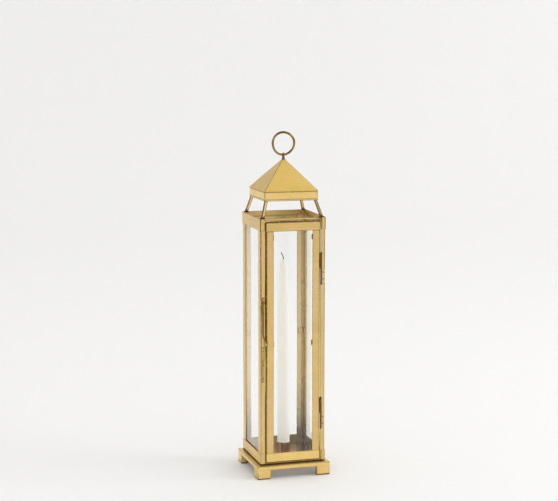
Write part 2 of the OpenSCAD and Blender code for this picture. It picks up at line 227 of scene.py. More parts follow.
def roundTurn(outline, columns=48):
    # a closed outline (radius, height) turned about the upright axis
    points, bend = outline[0], outline[2]
    angle = np.linspace(0, 2 * math.pi, columns, endpoint=False)
    radius, height = points[:, :1], points[:, 1:]
    grid = np.stack(np.broadcast_arrays(radius * np.cos(angle), radius * np.sin(angle), height), 2)
    step = np.linalg.norm(np.diff(np.vstack([points, points[:1]]), axis=0), axis=1)
    run = np.concatenate([[0], np.cumsum(step)])
    around = np.linspace(0, 2 * math.pi, columns + 1) * points[:, 0].max()
    uv = np.stack(np.broadcast_arrays(around[None], run[:, None]), 2)
    return grid, np.repeat(bend[:, None], columns, 1), uv, True


def rodAlong(path, radii, binormal, columns=16):
    # a round rod: circles set square to a flat path, each with its own radius
    path = np.asarray(path, float)
    tangent = np.gradient(path, axis=0)
    tangent /= np.linalg.norm(tangent, axis=1)[:, None]
    binormal = np.broadcast_to(np.asarray(binormal, float), path.shape)
    normal = np.cross(binormal, tangent)
    angle = np.linspace(0, 2 * math.pi, columns, endpoint=False)
    radii = np.broadcast_to(np.asarray(radii, float), (len(path),))
    cos, sin = np.cos(angle)[None, :, None], np.sin(angle)[None, :, None]
    around = normal[:, None] * cos + binormal[:, None] * sin
    grid = path[:, None] + around * radii[:, None, None]
    run = np.concatenate([[0], np.cumsum(np.linalg.norm(np.diff(path, axis=0), axis=1))])
    girth = np.linspace(0, 2 * math.pi, columns + 1) * radii.max()
    uv = np.stack(np.broadcast_arrays(run[:, None], girth[None]), 2)
    return grid, np.zeros(grid.shape[:2]), uv, False


def roundedRodEnds(path, radius, steps=4):
    # adds a ball end to both ends of a rod's path, where its radius falls off as a quarter circle
    path = np.asarray(path, float)
    angle = np.linspace(0, math.pi / 2, steps + 1)
    out = radius * np.sin(angle)[1:]
    thin = radius * np.cos(angle)[1:]
    thin[-1] = radius * 0.02
    head = path[0] - path[1]
    tail = path[-1] - path[-2]
    head, tail = head / np.linalg.norm(head), tail / np.linalg.norm(tail)
    longer = np.vstack([(path[0] + head * out[:, None])[::-1], path, path[-1] + tail * out[:, None]])
    radii = np.concatenate([thin[::-1], np.full(len(path), radius), thin])
    return longer, radii


def place(part, origin=(0, 0, 0), x=(1, 0, 0), y=(0, 1, 0), z=(0, 0, 1)):
    # the grid's own x, y and z laid along the given directions, from the given origin
    return (np.asarray(origin, float) + part[0] @ np.array([x, y, z], float),) + part[1:]


def turned(part):
    # the same surface with its grain running across instead of along
    return part[:2] + (part[2][..., ::-1],) + part[3:]


def gridMesh(name, parts):
    # each part is a grid of points, bends and sheet coordinates whose columns close on
    # themselves; its rows close too, or its first and last rows get one face each
    verts, faces, bends, loops, start = [], [], [], [], 0
    for grid, bend, uv, closeRows in parts:
        rows, columns = grid.shape[:2]
        index = start + np.arange(rows * columns).reshape(rows, columns)
        lastRow = rows if closeRows else rows - 1
        i, j = np.meshgrid(np.arange(lastRow), np.arange(columns), indexing="ij")
        nextI, nextJ = (i + 1) % rows, (j + 1) % columns
        quads = np.stack([index[i, j], index[i, nextJ], index[nextI, nextJ], index[nextI, j]], -1)
        faces += quads.reshape(-1, 4).tolist()
        wide = np.minimum(i + 1, uv.shape[0] - 1)
        corner = np.stack([uv[i, j], uv[i, j + 1], uv[wide, j + 1], uv[wide, j]], 2)
        loops.append(corner.reshape(-1, 2))
        if not closeRows:
            faces += [index[0][::-1].tolist(), index[-1].tolist()]
            for ring in (grid[0][::-1], grid[-1]):
                spread = np.argsort(np.ptp(ring, axis=0))[1:]
                loops.append(ring[:, np.sort(spread)])
        verts.append(grid.reshape(-1, 3))
        bends.append(bend.reshape(-1))
        start += rows * columns
    mesh = bpy.data.meshes.new(name)
    mesh.from_pydata(np.concatenate(verts).tolist(), [], faces)
    layer = mesh.uv_layers.new(name="sheet")
    layer.data.foreach_set("uv", np.concatenate(loops).astype(np.float32).ravel())
    worn = mesh.attributes.new("bend", "FLOAT", "POINT")
    worn.data.foreach_set("value", np.concatenate(bends).astype(np.float32))
    work = bmesh.new()
    work.from_mesh(mesh)
    bmesh.ops.remove_doubles(work, verts=work.verts, dist=1e-6)
    bmesh.ops.dissolve_degenerate(work, edges=work.edges, dist=1e-7)
    bmesh.ops.recalc_face_normals(work, faces=work.faces)
    work.to_mesh(mesh)
    work.free()
    return mesh


def ramp(value, start, end):
    # 0 before start, 1 beyond end, straight between
    return np.clip((value - start) / (end - start), 0, 1)


# Where painted shade goes: each mark grows from nothing at the first number to full at the second.
# Metres from the lantern's middle line, or above the surface that it stands on
paintedShadeFrom = {
    "slotFront": (-0.0676, -0.0670),       # the slots beside the door
    "slotBack": (-0.053, -0.057),
    "slotInner": (0.0540, 0.0550),
    "slotOuter": (0.0668, 0.0663),
    "flangeOuter": (0.0590, 0.0574),       # the left post's front leg, along the door
    "flangeInner": (0.0563, 0.0569),
    "flangeFront": (-0.0671, -0.0670),
    "flangeBack": (-0.0655, -0.0660),
    "lipLow": (0.5185, 0.5192),            # under the upper collar's lip
    "lipHigh": (0.5245, 0.5237),
    "lipBack": (-0.058, -0.060),
    "collarUnder": (0.0335, 0.0322),       # underside of the lower collar
    "footLow": (0.0034, 0.0014),
    "knuckle": (0.0026, 0.0022),           # from the hinge axis
    "bandHigh": (0.5614, 0.5603),          # hem of the roof band
    "bandLow": (0.5590, 0.5600),
    "bandOut": (0.053, 0.054),
}
paintedShadeShare = {"knuckle": 0.85, "band": 0.8}


def paintedShadeAt(points, normals, inside):
    # painted shade where shadow falls: the slots round the door, the knuckles of the hinges,
    # the undersides near the plinth and the roof band; painted contact shadow and some grime at the foot of
    # every leg
    x, y, z = points.T
    far = np.abs(x)
    reach = paintedShadeFrom
    hinge = jointAt("door_swing")
    sideways, upright = ramp(np.abs(normals[:, 0]), 0.4, 0.9), ramp(np.abs(normals[:, 2]), 0.4, 0.8)
    slot = ramp(y, *reach["slotFront"]) * ramp(y, *reach["slotBack"]) * ramp(far, *reach["slotInner"])
    slot = slot * ramp(far, *reach["slotOuter"]) * np.maximum(sideways, inside)
    flange = ramp(-x, *reach["flangeOuter"]) * ramp(-x, *reach["flangeInner"])
    flange = flange * ramp(y, *reach["flangeFront"]) * ramp(y, *reach["flangeBack"])
    overDoor = ramp(z, *reach["lipLow"]) * ramp(z, *reach["lipHigh"]) * ramp(y, *reach["lipBack"]) * upright
    under = ramp(z, *reach["collarUnder"]) * ramp(-normals[:, 2], 0.4, 0.8)
    legs = ramp(z, *reach["footLow"])
    knuckle = paintedShadeShare["knuckle"] * ramp(np.hypot(x - hinge[0], y - hinge[1]), *reach["knuckle"])
    band = paintedShadeShare["band"] * ramp(z, *reach["bandHigh"]) * ramp(z, *reach["bandLow"])
    band = band * ramp(np.maximum(far, np.abs(y)), *reach["bandOut"])
    return np.max([slot, flange, overDoor, under, legs, knuckle, band], axis=0)


def addMask(mesh, name, values):
    layer = mesh.attributes.new(name, "FLOAT", "POINT")
    layer.data.foreach_set("value", values.astype(np.float32))


insideFrom = {"depth": (0.0672, 0.0666), "facing": (0.3, 0.8)}    # metres out, and how squarely it faces in


def markPlaces(mesh, extraShade):
    # marks how far each point faces the lantern's upright middle line, and where painted shade goes
    count = len(mesh.vertices)
    points, normals = np.empty(count * 3), np.empty(count * 3)
    mesh.vertices.foreach_get("co", points)
    mesh.vertex_normals.foreach_get("vector", normals)
    points, normals = points.reshape(-1, 3), normals.reshape(-1, 3)
    major = np.argmax(np.abs(points[:, :2]), axis=1)
    flat = np.abs(normals[:, :2]).argmax(1)
    facing = -np.sign(points[np.arange(count), flat]) * normals[np.arange(count), flat]
    deep = ramp(np.abs(points[np.arange(count), major]), *insideFrom["depth"])
    inside = ramp(facing, *insideFrom["facing"]) * deep
    addMask(mesh, "inside", inside)
    grime = paintedShadeAt(points, normals, inside)
    # extra painted shade that a piece may bring
    if extraShade:
        grime = np.maximum(grime, extraShade(points, normals))
    addMask(mesh, "grime", grime)


def piece(name, parts, body, material, replaced, warp=True, smooth=40, extraShade=None):
    # one finished piece: its mesh, finish, body and the nodes that it stands for
    if not isinstance(parts, list):
        parts = [parts]
    if warp:
        parts = [(handWarp(part[0]),) + part[1:] for part in parts]
    mesh = gridMesh(name, parts)
    markPlaces(mesh, extraShade)
    thing = bpy.data.objects.new(name, mesh)
    bpy.context.scene.collection.objects.link(thing)
    mesh.materials.append(material)
    mesh.shade_smooth()
    mesh.set_sharp_from_angle(angle=math.radians(smooth))
    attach(thing, body)
    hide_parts(*replaced)
    return thing


def add(tree, kind, links=None, **settings):
    # a node with its settings, and its inputs either joined to a socket or given a value
    node = tree.nodes.new(kind)
    for key, value in settings.items():
        setattr(node, key, value)
    for key, value in (links or {}).items():
        if isinstance(value, bpy.types.NodeSocket):
            tree.links.new(value, node.inputs[key])
        else:
            node.inputs[key].default_value = value
    return node


def math2(tree, operation, first, second, clamp=False):
    return add(tree, "ShaderNodeMath", {0: first, 1: second}, operation=operation, use_clamp=clamp).outputs[0]


def vector2(tree, operation, first, second):
    return add(tree, "ShaderNodeVectorMath", {0: first, 1: second}, operation=operation).outputs[0]


def blendColor(tree, factor, first, second):
    return add(tree, "ShaderNodeMix", {0: factor, 6: first, 7: second}, data_type="RGBA").outputs[2]


def spread(tree, value, low, high):
    # the value stretched so that low becomes 0 and high becomes 1
    return add(tree, "ShaderNodeMapRange", {0: value, 1: low, 2: high}).outputs[0]


def newGroup(name, inputs, outputs):
    group = bpy.data.node_groups.new(name, "ShaderNodeTree")
    for label, kind, value in inputs:
        socket = group.interface.new_socket(label, in_out="INPUT", socket_type="NodeSocket" + kind)
        socket.default_value = value
    for label, kind in outputs:
        group.interface.new_socket(label, in_out="OUTPUT", socket_type="NodeSocket" + kind)
    return group, add(group, "NodeGroupInput").outputs, add(group, "NodeGroupOutput").inputs


def brushedGrainGroup():
    # fine scratches drawn out along the sheet's first direction, over broader streaks
    group, given, out = newGroup("brushedGrain",
        [("Vector", "Vector", (0, 0, 0)), ("Lines", "Float", 2500.0), ("Drawn", "Float", 60.0)],
        [("Streaks", "Float"), ("Height", "Float")])
    slow = math2(group, "DIVIDE", given["Lines"], given["Drawn"])
    fine = add(group, "ShaderNodeCombineXYZ", {0: slow, 1: given["Lines"], 2: given["Lines"]})
    drawn = vector2(group, "MULTIPLY", given["Vector"], fine.outputs[0])
    scratches = add(group, "ShaderNodeTexNoise", {0: drawn, "Scale": 1.0, "Detail": 3.0})
    broad = vector2(group, "MULTIPLY", drawn, (0.25, 0.13, 0.13))
    bands = add(group, "ShaderNodeTexNoise", {0: broad, "Scale": 1.0, "Detail": 2.0})
    both = math2(group, "ADD", math2(group, "MULTIPLY", scratches.outputs[0], 0.5),
                 math2(group, "MULTIPLY", bands.outputs[0], 0.5))
    group.links.new(spread(group, both, 0.36, 0.64), out["Streaks"])
    group.links.new(scratches.outputs[0], out["Height"])
    return group


freckleTone = (0.16, 0.09, 0.03, 1)


def patinaGroup():
    # three tones of brass in soft clouds, with small freckles
    group, given, out = newGroup("patina",
        [("Vector", "Vector", (0, 0, 0)), ("Size", "Float", 14.0), ("Bright", "Color", (1, 1, 1, 1)),
         ("Dull", "Color", (1, 1, 1, 1)), ("Rosy", "Color", (1, 1, 1, 1)), ("Freckles", "Float", 0.2)],
        [("Color", "Color"), ("Clouds", "Float")])
    clouds = add(group, "ShaderNodeTexNoise",
                 {0: given["Vector"], "Scale": given["Size"], "Detail": 4.0, "Distortion": 0.6})
    elsewhere = vector2(group, "ADD", given["Vector"], (0.7, 0.3, 0.9))
    blush = add(group, "ShaderNodeTexNoise", {0: elsewhere, "Scale": given["Size"], "Detail": 2.0})
    spotScale = math2(group, "MULTIPLY", given["Size"], 22.0)
    spots = add(group, "ShaderNodeTexNoise", {0: given["Vector"], "Scale": spotScale, "Detail": 3.0})
    cloudy = spread(group, clouds.outputs[0], 0.35, 0.68)
    color = blendColor(group, cloudy, given["Bright"], given["Dull"])
    color = blendColor(group, spread(group, blush.outputs[0], 0.5, 0.75), color, given["Rosy"])
    freckle = math2(group, "MULTIPLY", spread(group, spots.outputs[0], 0.6, 0.74), given["Freckles"])
    color = blendColor(group, freckle, color, freckleTone)
    group.links.new(color, out["Color"])
    group.links.new(cloudy, out["Clouds"])
    return group


def edgeWearGroup():
    # breaks up the bend: a dark line along outside folds, with bare metal showing in
    # patches, and dirt left in inside ones
    group, given, out = newGroup("edgeWear",
        [("Bend", "Float", 0.0), ("Vector", "Vector", (0, 0, 0)), ("Patches", "Float", 160.0)],
        [("Line", "Float"), ("Bare", "Float"), ("Dirt", "Float")])
    noise = add(group, "ShaderNodeTexNoise", {0: given["Vector"], "Scale": given["Patches"], "Detail": 3.0})
    ragged = math2(group, "MULTIPLY", math2(group, "SUBTRACT", noise.outputs[0], 0.5), 1.5)
    high = math2(group, "ADD", given["Bend"], ragged)
    low = math2(group, "SUBTRACT", ragged, given["Bend"])
    outer = math2(group, "MAXIMUM", given["Bend"], 0.0)
    group.links.new(math2(group, "MULTIPLY", spread(group, high, 1.1, 1.4), outer), out["Bare"])
    line = math2(group, "ADD", given["Bend"], math2(group, "MULTIPLY", ragged, 0.5))
    group.links.new(spread(group, line, 0.62, 1.0), out["Line"])
    hollow = math2(group, "MAXIMUM", math2(group, "MULTIPLY", given["Bend"], -1.0), 0.0)
    group.links.new(math2(group, "MULTIPLY", spread(group, low, 0.1, 0.8), hollow), out["Dirt"])
    return group


# painted shadow on the strip of the base tray's top that shows beside the plinth
trayPaintedShadow = {"height": 0.027, "level": (0.0012, 0.0005), "reach": (0.0715, 0.0668), "share": 0.95}


def paintedShadeGroup():
    # painted shade: the marked places, broken up by noise, and a painted shadow on the strip of the tray
    # beside the plinth
    group, given, out = newGroup("grime",
        [("Mark", "Float", 0.0), ("Vector", "Vector", (0, 0, 0))], [("Mask", "Float")])
    noise = add(group, "ShaderNodeTexNoise", {0: given["Vector"], "Scale": 240.0, "Detail": 3.0})
    unsigned = vector2(group, "ABSOLUTE", given["Vector"], (0, 0, 0))
    place = add(group, "ShaderNodeSeparateXYZ", {0: unsigned}).outputs
    reach = math2(group, "MAXIMUM", place["X"], place["Y"])
    level = math2(group, "ABSOLUTE", math2(group, "SUBTRACT", place["Z"], trayPaintedShadow["height"]), 0.0)
    beside = math2(group, "MULTIPLY", spread(group, reach, *trayPaintedShadow["reach"]),
                   spread(group, level, *trayPaintedShadow["level"]))
    mark = math2(group, "MAXIMUM", given["Mark"], math2(group, "MULTIPLY", beside, trayPaintedShadow["share"]))
    broken = math2(group, "MULTIPLY", mark, spread(group, noise.outputs[0], 0.15, 0.45))
    group.links.new(math2(group, "MAXIMUM", broken, math2(group, "MULTIPLY", mark, 0.7)), out["Mask"])
    return group


def handlingGroup():
    # finger marks and dents: broad smudges for the gloss, shallow hollows for the height
    group, given, out = newGroup("handling",
        [("Vector", "Vector", (0, 0, 0)), ("Size", "Float", 30.0)],
        [("Smudges", "Float"), ("Height", "Float")])
    smudge = add(group, "ShaderNodeTexNoise",
                 {0: given["Vector"], "Scale": given["Size"], "Detail": 5.0, "Distortion": 1.2})
    dentSize = math2(group, "MULTIPLY", given["Size"], 1.6)
    dents = add(group, "ShaderNodeTexVoronoi", {0: given["Vector"], "Scale": dentSize}, feature="SMOOTH_F1")
    group.links.new(spread(group, smudge.outputs[0], 0.35, 0.7), out["Smudges"])
    group.links.new(dents.outputs["Distance"], out["Height"])
    return group


brushedGrain, patina = brushedGrainGroup(), patinaGroup()
edgeWear, handling, grime = edgeWearGroup(), handlingGroup(), paintedShadeGroup()
print("shader groups built")


def useGroup(tree, group, links):
    node = add(tree, "ShaderNodeGroup")
    node.node_tree = group
    for key, value in links.items():
        if isinstance(value, bpy.types.NodeSocket):
            tree.links.new(value, node.inputs[key])
        else:
            node.inputs[key].default_value = value
    return node.outputs


def newMaterial(name, fixed):
    # a material with a Principled shader whose steady values are set on its own sockets
    material = bpy.data.materials.new(name)
    material.use_nodes = True
    tree = material.node_tree
    shader = tree.nodes["Principled BSDF"]
    for key, value in fixed.items():
        shader.inputs[key].default_value = value
    return material, tree, shader.inputs


brassTones = {
    "bright": (0.80, 0.575, 0.235, 1),
    "dull": (0.70, 0.49, 0.18, 1),
    "rosy": (0.80, 0.56, 0.29, 1),
    "bare": (0.95, 0.80, 0.46, 1),
    "dirt": (0.09, 0.05, 0.012, 1),
    "line": (0.20, 0.11, 0.02, 1),
    "streak": (0.42, 0.27, 0.08, 1),
    # painted shade, the tone of the marked places
    "grime": (0.060, 0.026, 0.003, 1),
    "insideLow": (0.34, 0.27, 0.17, 1),      # painted shade inside, near the floor pan
    "insideHigh": (0.98, 0.74, 0.33, 1),     # and painted light higher up
}
insideShadeRise = (0.05, 0.18)     # heights between which the painted shade inside gives way to painted light
linedRise = (0.17, 0.36)       # and between which the fold lines darken
roughBy = {"streak": 0.05, "bare": 0.08, "dirty": 0.3}         # how much each changes the roughness
dirtAndShadeShine = 0.12               # specular level, which only the dulled places, the dirt and the painted shade show


def brass(name, look, ownSheet=True):
    # brushed brass: patina clouds, streaks, painted shade and light inside the cabin, bare edges, dirty folds
    # and painted shade in the marked places
    material, tree, shader = newMaterial(name, {"Specular IOR Level": dirtAndShadeShine})
    solid = add(tree, "ShaderNodeTexCoord").outputs["Object"]
    along = add(tree, "ShaderNodeUVMap", uv_map="sheet").outputs[0] if ownSheet else solid
    grain = useGroup(tree, brushedGrain, {"Vector": along, "Lines": look["lines"]})
    clouds = useGroup(tree, patina, {"Vector": solid, "Size": look["clouds"], "Freckles": look["freckles"],
        "Bright": look.get("bright", brassTones["bright"]), "Dull": look.get("dull", brassTones["dull"]),
        "Rosy": look.get("rosy", brassTones["rosy"])})
    bend = add(tree, "ShaderNodeAttribute", attribute_name="bend").outputs["Fac"]
    inside = add(tree, "ShaderNodeAttribute", attribute_name="inside").outputs["Fac"]
    mark = add(tree, "ShaderNodeAttribute", attribute_name="grime").outputs["Fac"]
    # painted shade in the marked places
    dark = useGroup(tree, grime, {"Mark": mark, "Vector": solid})["Mask"]
    worn = useGroup(tree, edgeWear, {"Bend": bend, "Vector": solid})
    marks = useGroup(tree, handling, {"Vector": solid})
    color = blendColor(tree, math2(tree, "MULTIPLY", grain["Streaks"], look["streaks"]),
                       clouds["Color"], brassTones["streak"])
    height = add(tree, "ShaderNodeSeparateXYZ", {0: solid}).outputs["Z"]
    # painted shade low inside the cabin, painted light higher up
    tarnish = blendColor(tree, spread(tree, height, *insideShadeRise), brassTones["insideLow"],
                         brassTones["insideHigh"])
    color = blendColor(tree, math2(tree, "MULTIPLY", inside, look["tarnish"]), color, tarnish)
    lined = add(tree, "ShaderNodeMapRange", {0: height, 1: linedRise[0], 2: linedRise[1],
                                             3: look["lined"], 4: look["linedHigh"]})
    foldLine = math2(tree, "MULTIPLY", worn["Line"], lined.outputs[0])
    color = blendColor(tree, foldLine, color, brassTones["line"])
    color = blendColor(tree, math2(tree, "MULTIPLY", worn["Bare"], look["bare"]), color, brassTones["bare"])
    color = blendColor(tree, math2(tree, "MULTIPLY", worn["Dirt"], look["dirt"]), color, brassTones["dirt"])
    # the painted shade laid over the colour
    color = blendColor(tree, dark, color, brassTones["grime"])
    tree.links.new(color, shader["Base Color"])
    rough = math2(tree, "ADD", look["rough"], math2(tree, "MULTIPLY", marks["Smudges"], look["smudges"]))
    rough = math2(tree, "ADD", rough, math2(tree, "MULTIPLY", grain["Streaks"], roughBy["streak"]))
    rough = math2(tree, "SUBTRACT", rough, math2(tree, "MULTIPLY", worn["Bare"], roughBy["bare"]))
    # dirt in inside folds, and the painted shade
    dirty = math2(tree, "MAXIMUM", worn["Dirt"], dark)
    dulled = math2(tree, "MAXIMUM", dirty, math2(tree, "MULTIPLY", inside, look["dulled"]))
    tree.links.new(math2(tree, "SUBTRACT", 1.0, dulled), shader["Metallic"])
    rough = math2(tree, "ADD", rough, math2(tree, "MULTIPLY", dirty, roughBy["dirty"]), clamp=True)
    tree.links.new(rough, shader["Roughness"])
    relief = math2(tree, "ADD", math2(tree, "MULTIPLY", grain["Height"], look["scratched"]),
                   math2(tree, "MULTIPLY", marks["Height"], look["dented"]))
    bump = add(tree, "ShaderNodeBump", {"Strength": 0.35, "Distance": 0.0006, "Height": relief})
    tree.links.new(bump.outputs[0], shader["Normal"])
    return material


satinLook = {
    "lines": 2600.0,       # brushed lines per metre
    "clouds": 11.0,        # patina clouds per metre
    "freckles": 0.16,
    "streaks": 0.16,
    "tarnish": 0.8,        # share of the painted shade and light inside
    "dulled": 0.5,         # loss of shine inside the cabin, which darkens it like painted shade
    "bare": 0.7,
    "lined": 0.35,         # dark line along outside folds low down
    "linedHigh": 0.95,     # and high up
    "dirt": 0.9,
    "rough": 0.24,
    "smudges": 0.10,
    "scratched": 0.10,     # height of the brushed lines
    "dented": 0.25,        # and of the dents
}
roofLook = dict(satinLook, clouds=16.0, streaks=0.12, rough=0.28, lined=0.7, linedHigh=0.7,
                bright=(0.70, 0.49, 0.150, 1), dull=(0.63, 0.43, 0.12, 1), rosy=(0.73, 0.505, 0.19, 1))
paleLook = dict(satinLook, streaks=0.10, freckles=0.10, lined=0.5, linedHigh=0.5,
                bright=(0.95, 0.69, 0.27, 1), dull=(0.86, 0.61, 0.215, 1), rosy=(0.92, 0.66, 0.30, 1))
# dark brass for small parts: aged metal, and painted shade on the pane clips, which sit in shadow
agedAndShadedLook = dict(satinLook, clouds=60.0, freckles=0.5, streaks=0.3, rough=0.30, bare=0.9,
                bright=(0.30, 0.185, 0.05, 1), dull=(0.12, 0.07, 0.018, 1), rosy=(0.26, 0.15, 0.05, 1))
plateLook = dict(satinLook, clouds=40.0, freckles=0.4, streaks=0.25, rough=0.26, lined=0.85, linedHigh=0.85,
                 bright=(0.66, 0.46, 0.14, 1), dull=(0.44, 0.29, 0.075, 1), rosy=(0.58, 0.39, 0.14, 1))
polishedLook = dict(satinLook, clouds=20.0, streaks=0.10, rough=0.10, smudges=0.14, tarnish=0.6,
                    scratched=0.05, dented=0.35)
ringLook = dict(satinLook, clouds=38.0, rough=0.14, smudges=0.08, tarnish=0.0, streaks=0.25,
                bright=(0.46, 0.30, 0.075, 1), dull=(0.10, 0.052, 0.010, 1), rosy=(0.21, 0.11, 0.032, 1))
satin = brass("satinBrass", satinLook)
roofBrass = brass("roofBrass", roofLook)
paleBrass = brass("paleBrass", paleLook)
agedAndShaded = brass("agedBrass", agedAndShadedLook)
plated = brass("plateBrass", plateLook)
polished = brass("polishedBrass", polishedLook)
ringBrass = brass("ringBrass", ringLook)
# painted shade: the recessed plinth sits in shadow and gets dark brass
plinthShade = brass("agedBrassSolid", agedAndShadedLook, ownSheet=False)


glassLook = {"tint": (0.995, 0.998, 0.996, 1), "edge": (0.34, 0.42, 0.33, 1),
             "through": (0.99, 0.995, 0.99, 1), "index": 1.45, "smeared": 0.05, "ground": 0.35}


def clearGlass():
    # clear panes with a green cut edge, faint smears and a slow wave as drawn sheet has
    material, tree, shader = newMaterial("clearGlass", {"Metallic": 0.0, "Transmission Weight": 1.0,
                                                        "IOR": glassLook["index"]})
    solid = add(tree, "ShaderNodeTexCoord").outputs["Object"]
    bend = add(tree, "ShaderNodeAttribute", attribute_name="bend").outputs["Fac"]
    marks = useGroup(tree, handling, {"Vector": solid, "Size": 18.0})
    color = blendColor(tree, bend, glassLook["tint"], glassLook["edge"])
    tree.links.new(color, shader["Base Color"])
    smear = spread(tree, marks["Smudges"], 0.7, 1.4)
    rough = math2(tree, "ADD", math2(tree, "MULTIPLY", smear, glassLook["smeared"]),
                  math2(tree, "MULTIPLY", bend, glassLook["ground"]))
    tree.links.new(rough, shader["Roughness"])
    wave = add(tree, "ShaderNodeTexNoise", {0: solid, "Scale": 7.0, "Detail": 1.0})
    bump = add(tree, "ShaderNodeBump", {"Strength": 0.12, "Distance": 0.002, "Height": wave.outputs[0]})
    tree.links.new(bump.outputs[0], shader["Normal"])
    # light on its way to a lamp, or off a matt surface, goes straight through the thin pane
    rays = add(tree, "ShaderNodeLightPath").outputs
    straight = math2(tree, "MAXIMUM", rays["Is Shadow Ray"], rays["Is Diffuse Ray"])
    clear = add(tree, "ShaderNodeBsdfTransparent", {"Color": glassLook["through"]}).outputs[0]
    solidGlass = tree.nodes["Principled BSDF"].outputs[0]
    mixed = add(tree, "ShaderNodeMixShader", {0: straight, 1: solidGlass, 2: clear})
    tree.links.new(mixed.outputs[0], tree.nodes["Material Output"].inputs["Surface"])
    return material


# wax tones, ripples, and the strength of a painted glow
waxLook = {"pale": (0.985, 0.965, 0.90, 1), "warm": (0.97, 0.93, 0.83, 1), "bloom": (0.99, 0.975, 0.93, 1),
           "soaked": 0.15, "rough": 0.36, "ripple": 60.0}


def candleWax():
    # dipped wax: warm and pale clouds, a dry bloom, shallow ripples round the taper, and a painted glow
    material, tree, shader = newMaterial("candleWax", {
        "Subsurface Weight": 0.25, "Subsurface Scale": 0.006, "Subsurface Radius": (1.0, 0.7, 0.4),
        "IOR": 1.43, "Emission Strength": waxLook["soaked"]})
    solid = add(tree, "ShaderNodeTexCoord").outputs["Object"]
    clouds = useGroup(tree, patina, {"Vector": solid, "Size": 26.0, "Bright": waxLook["pale"],
                                     "Dull": waxLook["warm"], "Rosy": waxLook["bloom"], "Freckles": 0.02})
    marks = useGroup(tree, handling, {"Vector": solid, "Size": 40.0})
    tree.links.new(clouds["Color"], shader["Base Color"])
    tree.links.new(clouds["Color"], shader["Emission Color"])    # painted glow: the wax emits its own colour, though it is no lamp
    rough = math2(tree, "ADD", waxLook["rough"], math2(tree, "MULTIPLY", marks["Smudges"], 0.18))
    tree.links.new(rough, shader["Roughness"])
    squashed = add(tree, "ShaderNodeMapping", {0: solid, "Scale": (1, 1, 4)})
    ripple = add(tree, "ShaderNodeTexNoise", {0: squashed.outputs[0], "Scale": waxLook["ripple"],
                                               "Detail": 2.0})
    bump = add(tree, "ShaderNodeBump", {"Strength": 0.25, "Distance": 0.0005, "Height": ripple.outputs[0]})
    tree.links.new(bump.outputs[0], shader["Normal"])
    return material


wickLook = {"dark": (0.012, 0.010, 0.008, 1), "pale": (0.07, 0.055, 0.04, 1), "strands": 900, "slant": 0.7}


def braidedWick():
    # waxed cotton: dark and paler strands that wind round the wick
    material, tree, shader = newMaterial("braidedWick", {"Sheen Weight": 0.2})
    along = add(tree, "ShaderNodeUVMap", uv_map="sheet").outputs[0]
    slanted = add(tree, "ShaderNodeMapping", {0: along, "Rotation": (0, 0, wickLook["slant"]),
                                              "Scale": (wickLook["strands"],) * 3})
    strands = add(tree, "ShaderNodeTexWave", {0: slanted.outputs[0], "Scale": 1.0, "Distortion": 1.5})
    color = blendColor(tree, strands.outputs["Fac"], wickLook["dark"], wickLook["pale"])
    tree.links.new(color, shader["Base Color"])
    rough = math2(tree, "ADD", 0.55, math2(tree, "MULTIPLY", strands.outputs["Fac"], 0.3))
    tree.links.new(rough, shader["Roughness"])
    bump = add(tree, "ShaderNodeBump",
               {"Strength": 0.6, "Distance": 0.0003, "Height": strands.outputs["Fac"]})
    tree.links.new(bump.outputs[0], shader["Normal"])
    return material


feltLook = {"dark": (0.02, 0.017, 0.014, 1), "lint": (0.07, 0.06, 0.05, 1), "fibres": 1400.0}


def padFelt():
    # dark felt: pressed fibres with a little lint
    material, tree, shader = newMaterial("padFelt", {"Sheen Weight": 0.3})
    solid = add(tree, "ShaderNodeTexCoord").outputs["Object"]
    fibres = add(tree, "ShaderNodeTexNoise", {0: solid, "Scale": feltLook["fibres"], "Detail": 4.0,
                                             "Distortion": 2.0})
    color = blendColor(tree, spread(tree, fibres.outputs[0], 0.4, 0.7), feltLook["dark"], feltLook["lint"])
    tree.links.new(color, shader["Base Color"])
    rough = math2(tree, "ADD", 0.7, math2(tree, "MULTIPLY", fibres.outputs[0], 0.25))
    tree.links.new(rough, shader["Roughness"])
    bump = add(tree, "ShaderNodeBump", {"Strength": 0.5, "Distance": 0.0003, "Height": fibres.outputs[0]})
    tree.links.new(bump.outputs[0], shader["Normal"])
    return material


glass, wax, wickCotton, felt = clearGlass(), candleWax(), braidedWick(), padFelt()
print("materials built")


tiny = 1e-7              # keeps a corner at the middle line from closing up
quarters = {"front_left": (-1, -1), "front_right": (1, -1), "back_left": (-1, 1), "back_right": (1, 1)}
baseLook = {"corner": 1.8 * mm, "bend": 1.5 * mm, "hem": 0.45 * mm, "sheet": 1.2 * mm, "sharpest": 0.3 * mm,
            "step": 9 * mm, "unlined": 3 * mm}
feetLook = {"leg": 27 * mm, "thick": 12 * mm, "corner": 1.8 * mm, "edge": 0.45 * mm, "step": 6 * mm,
            "beyond": 1 * mm}


def camel(name):
    return "".join(word.capitalize() for word in name.split("_"))


def mirrored(points, sx, sy):
    # an anticlockwise outline in the front left quarter, carried to another quarter
    points = np.asarray(points, float) * [-sx, -sy]
    return points[::-1] if sx * sy < 0 else points


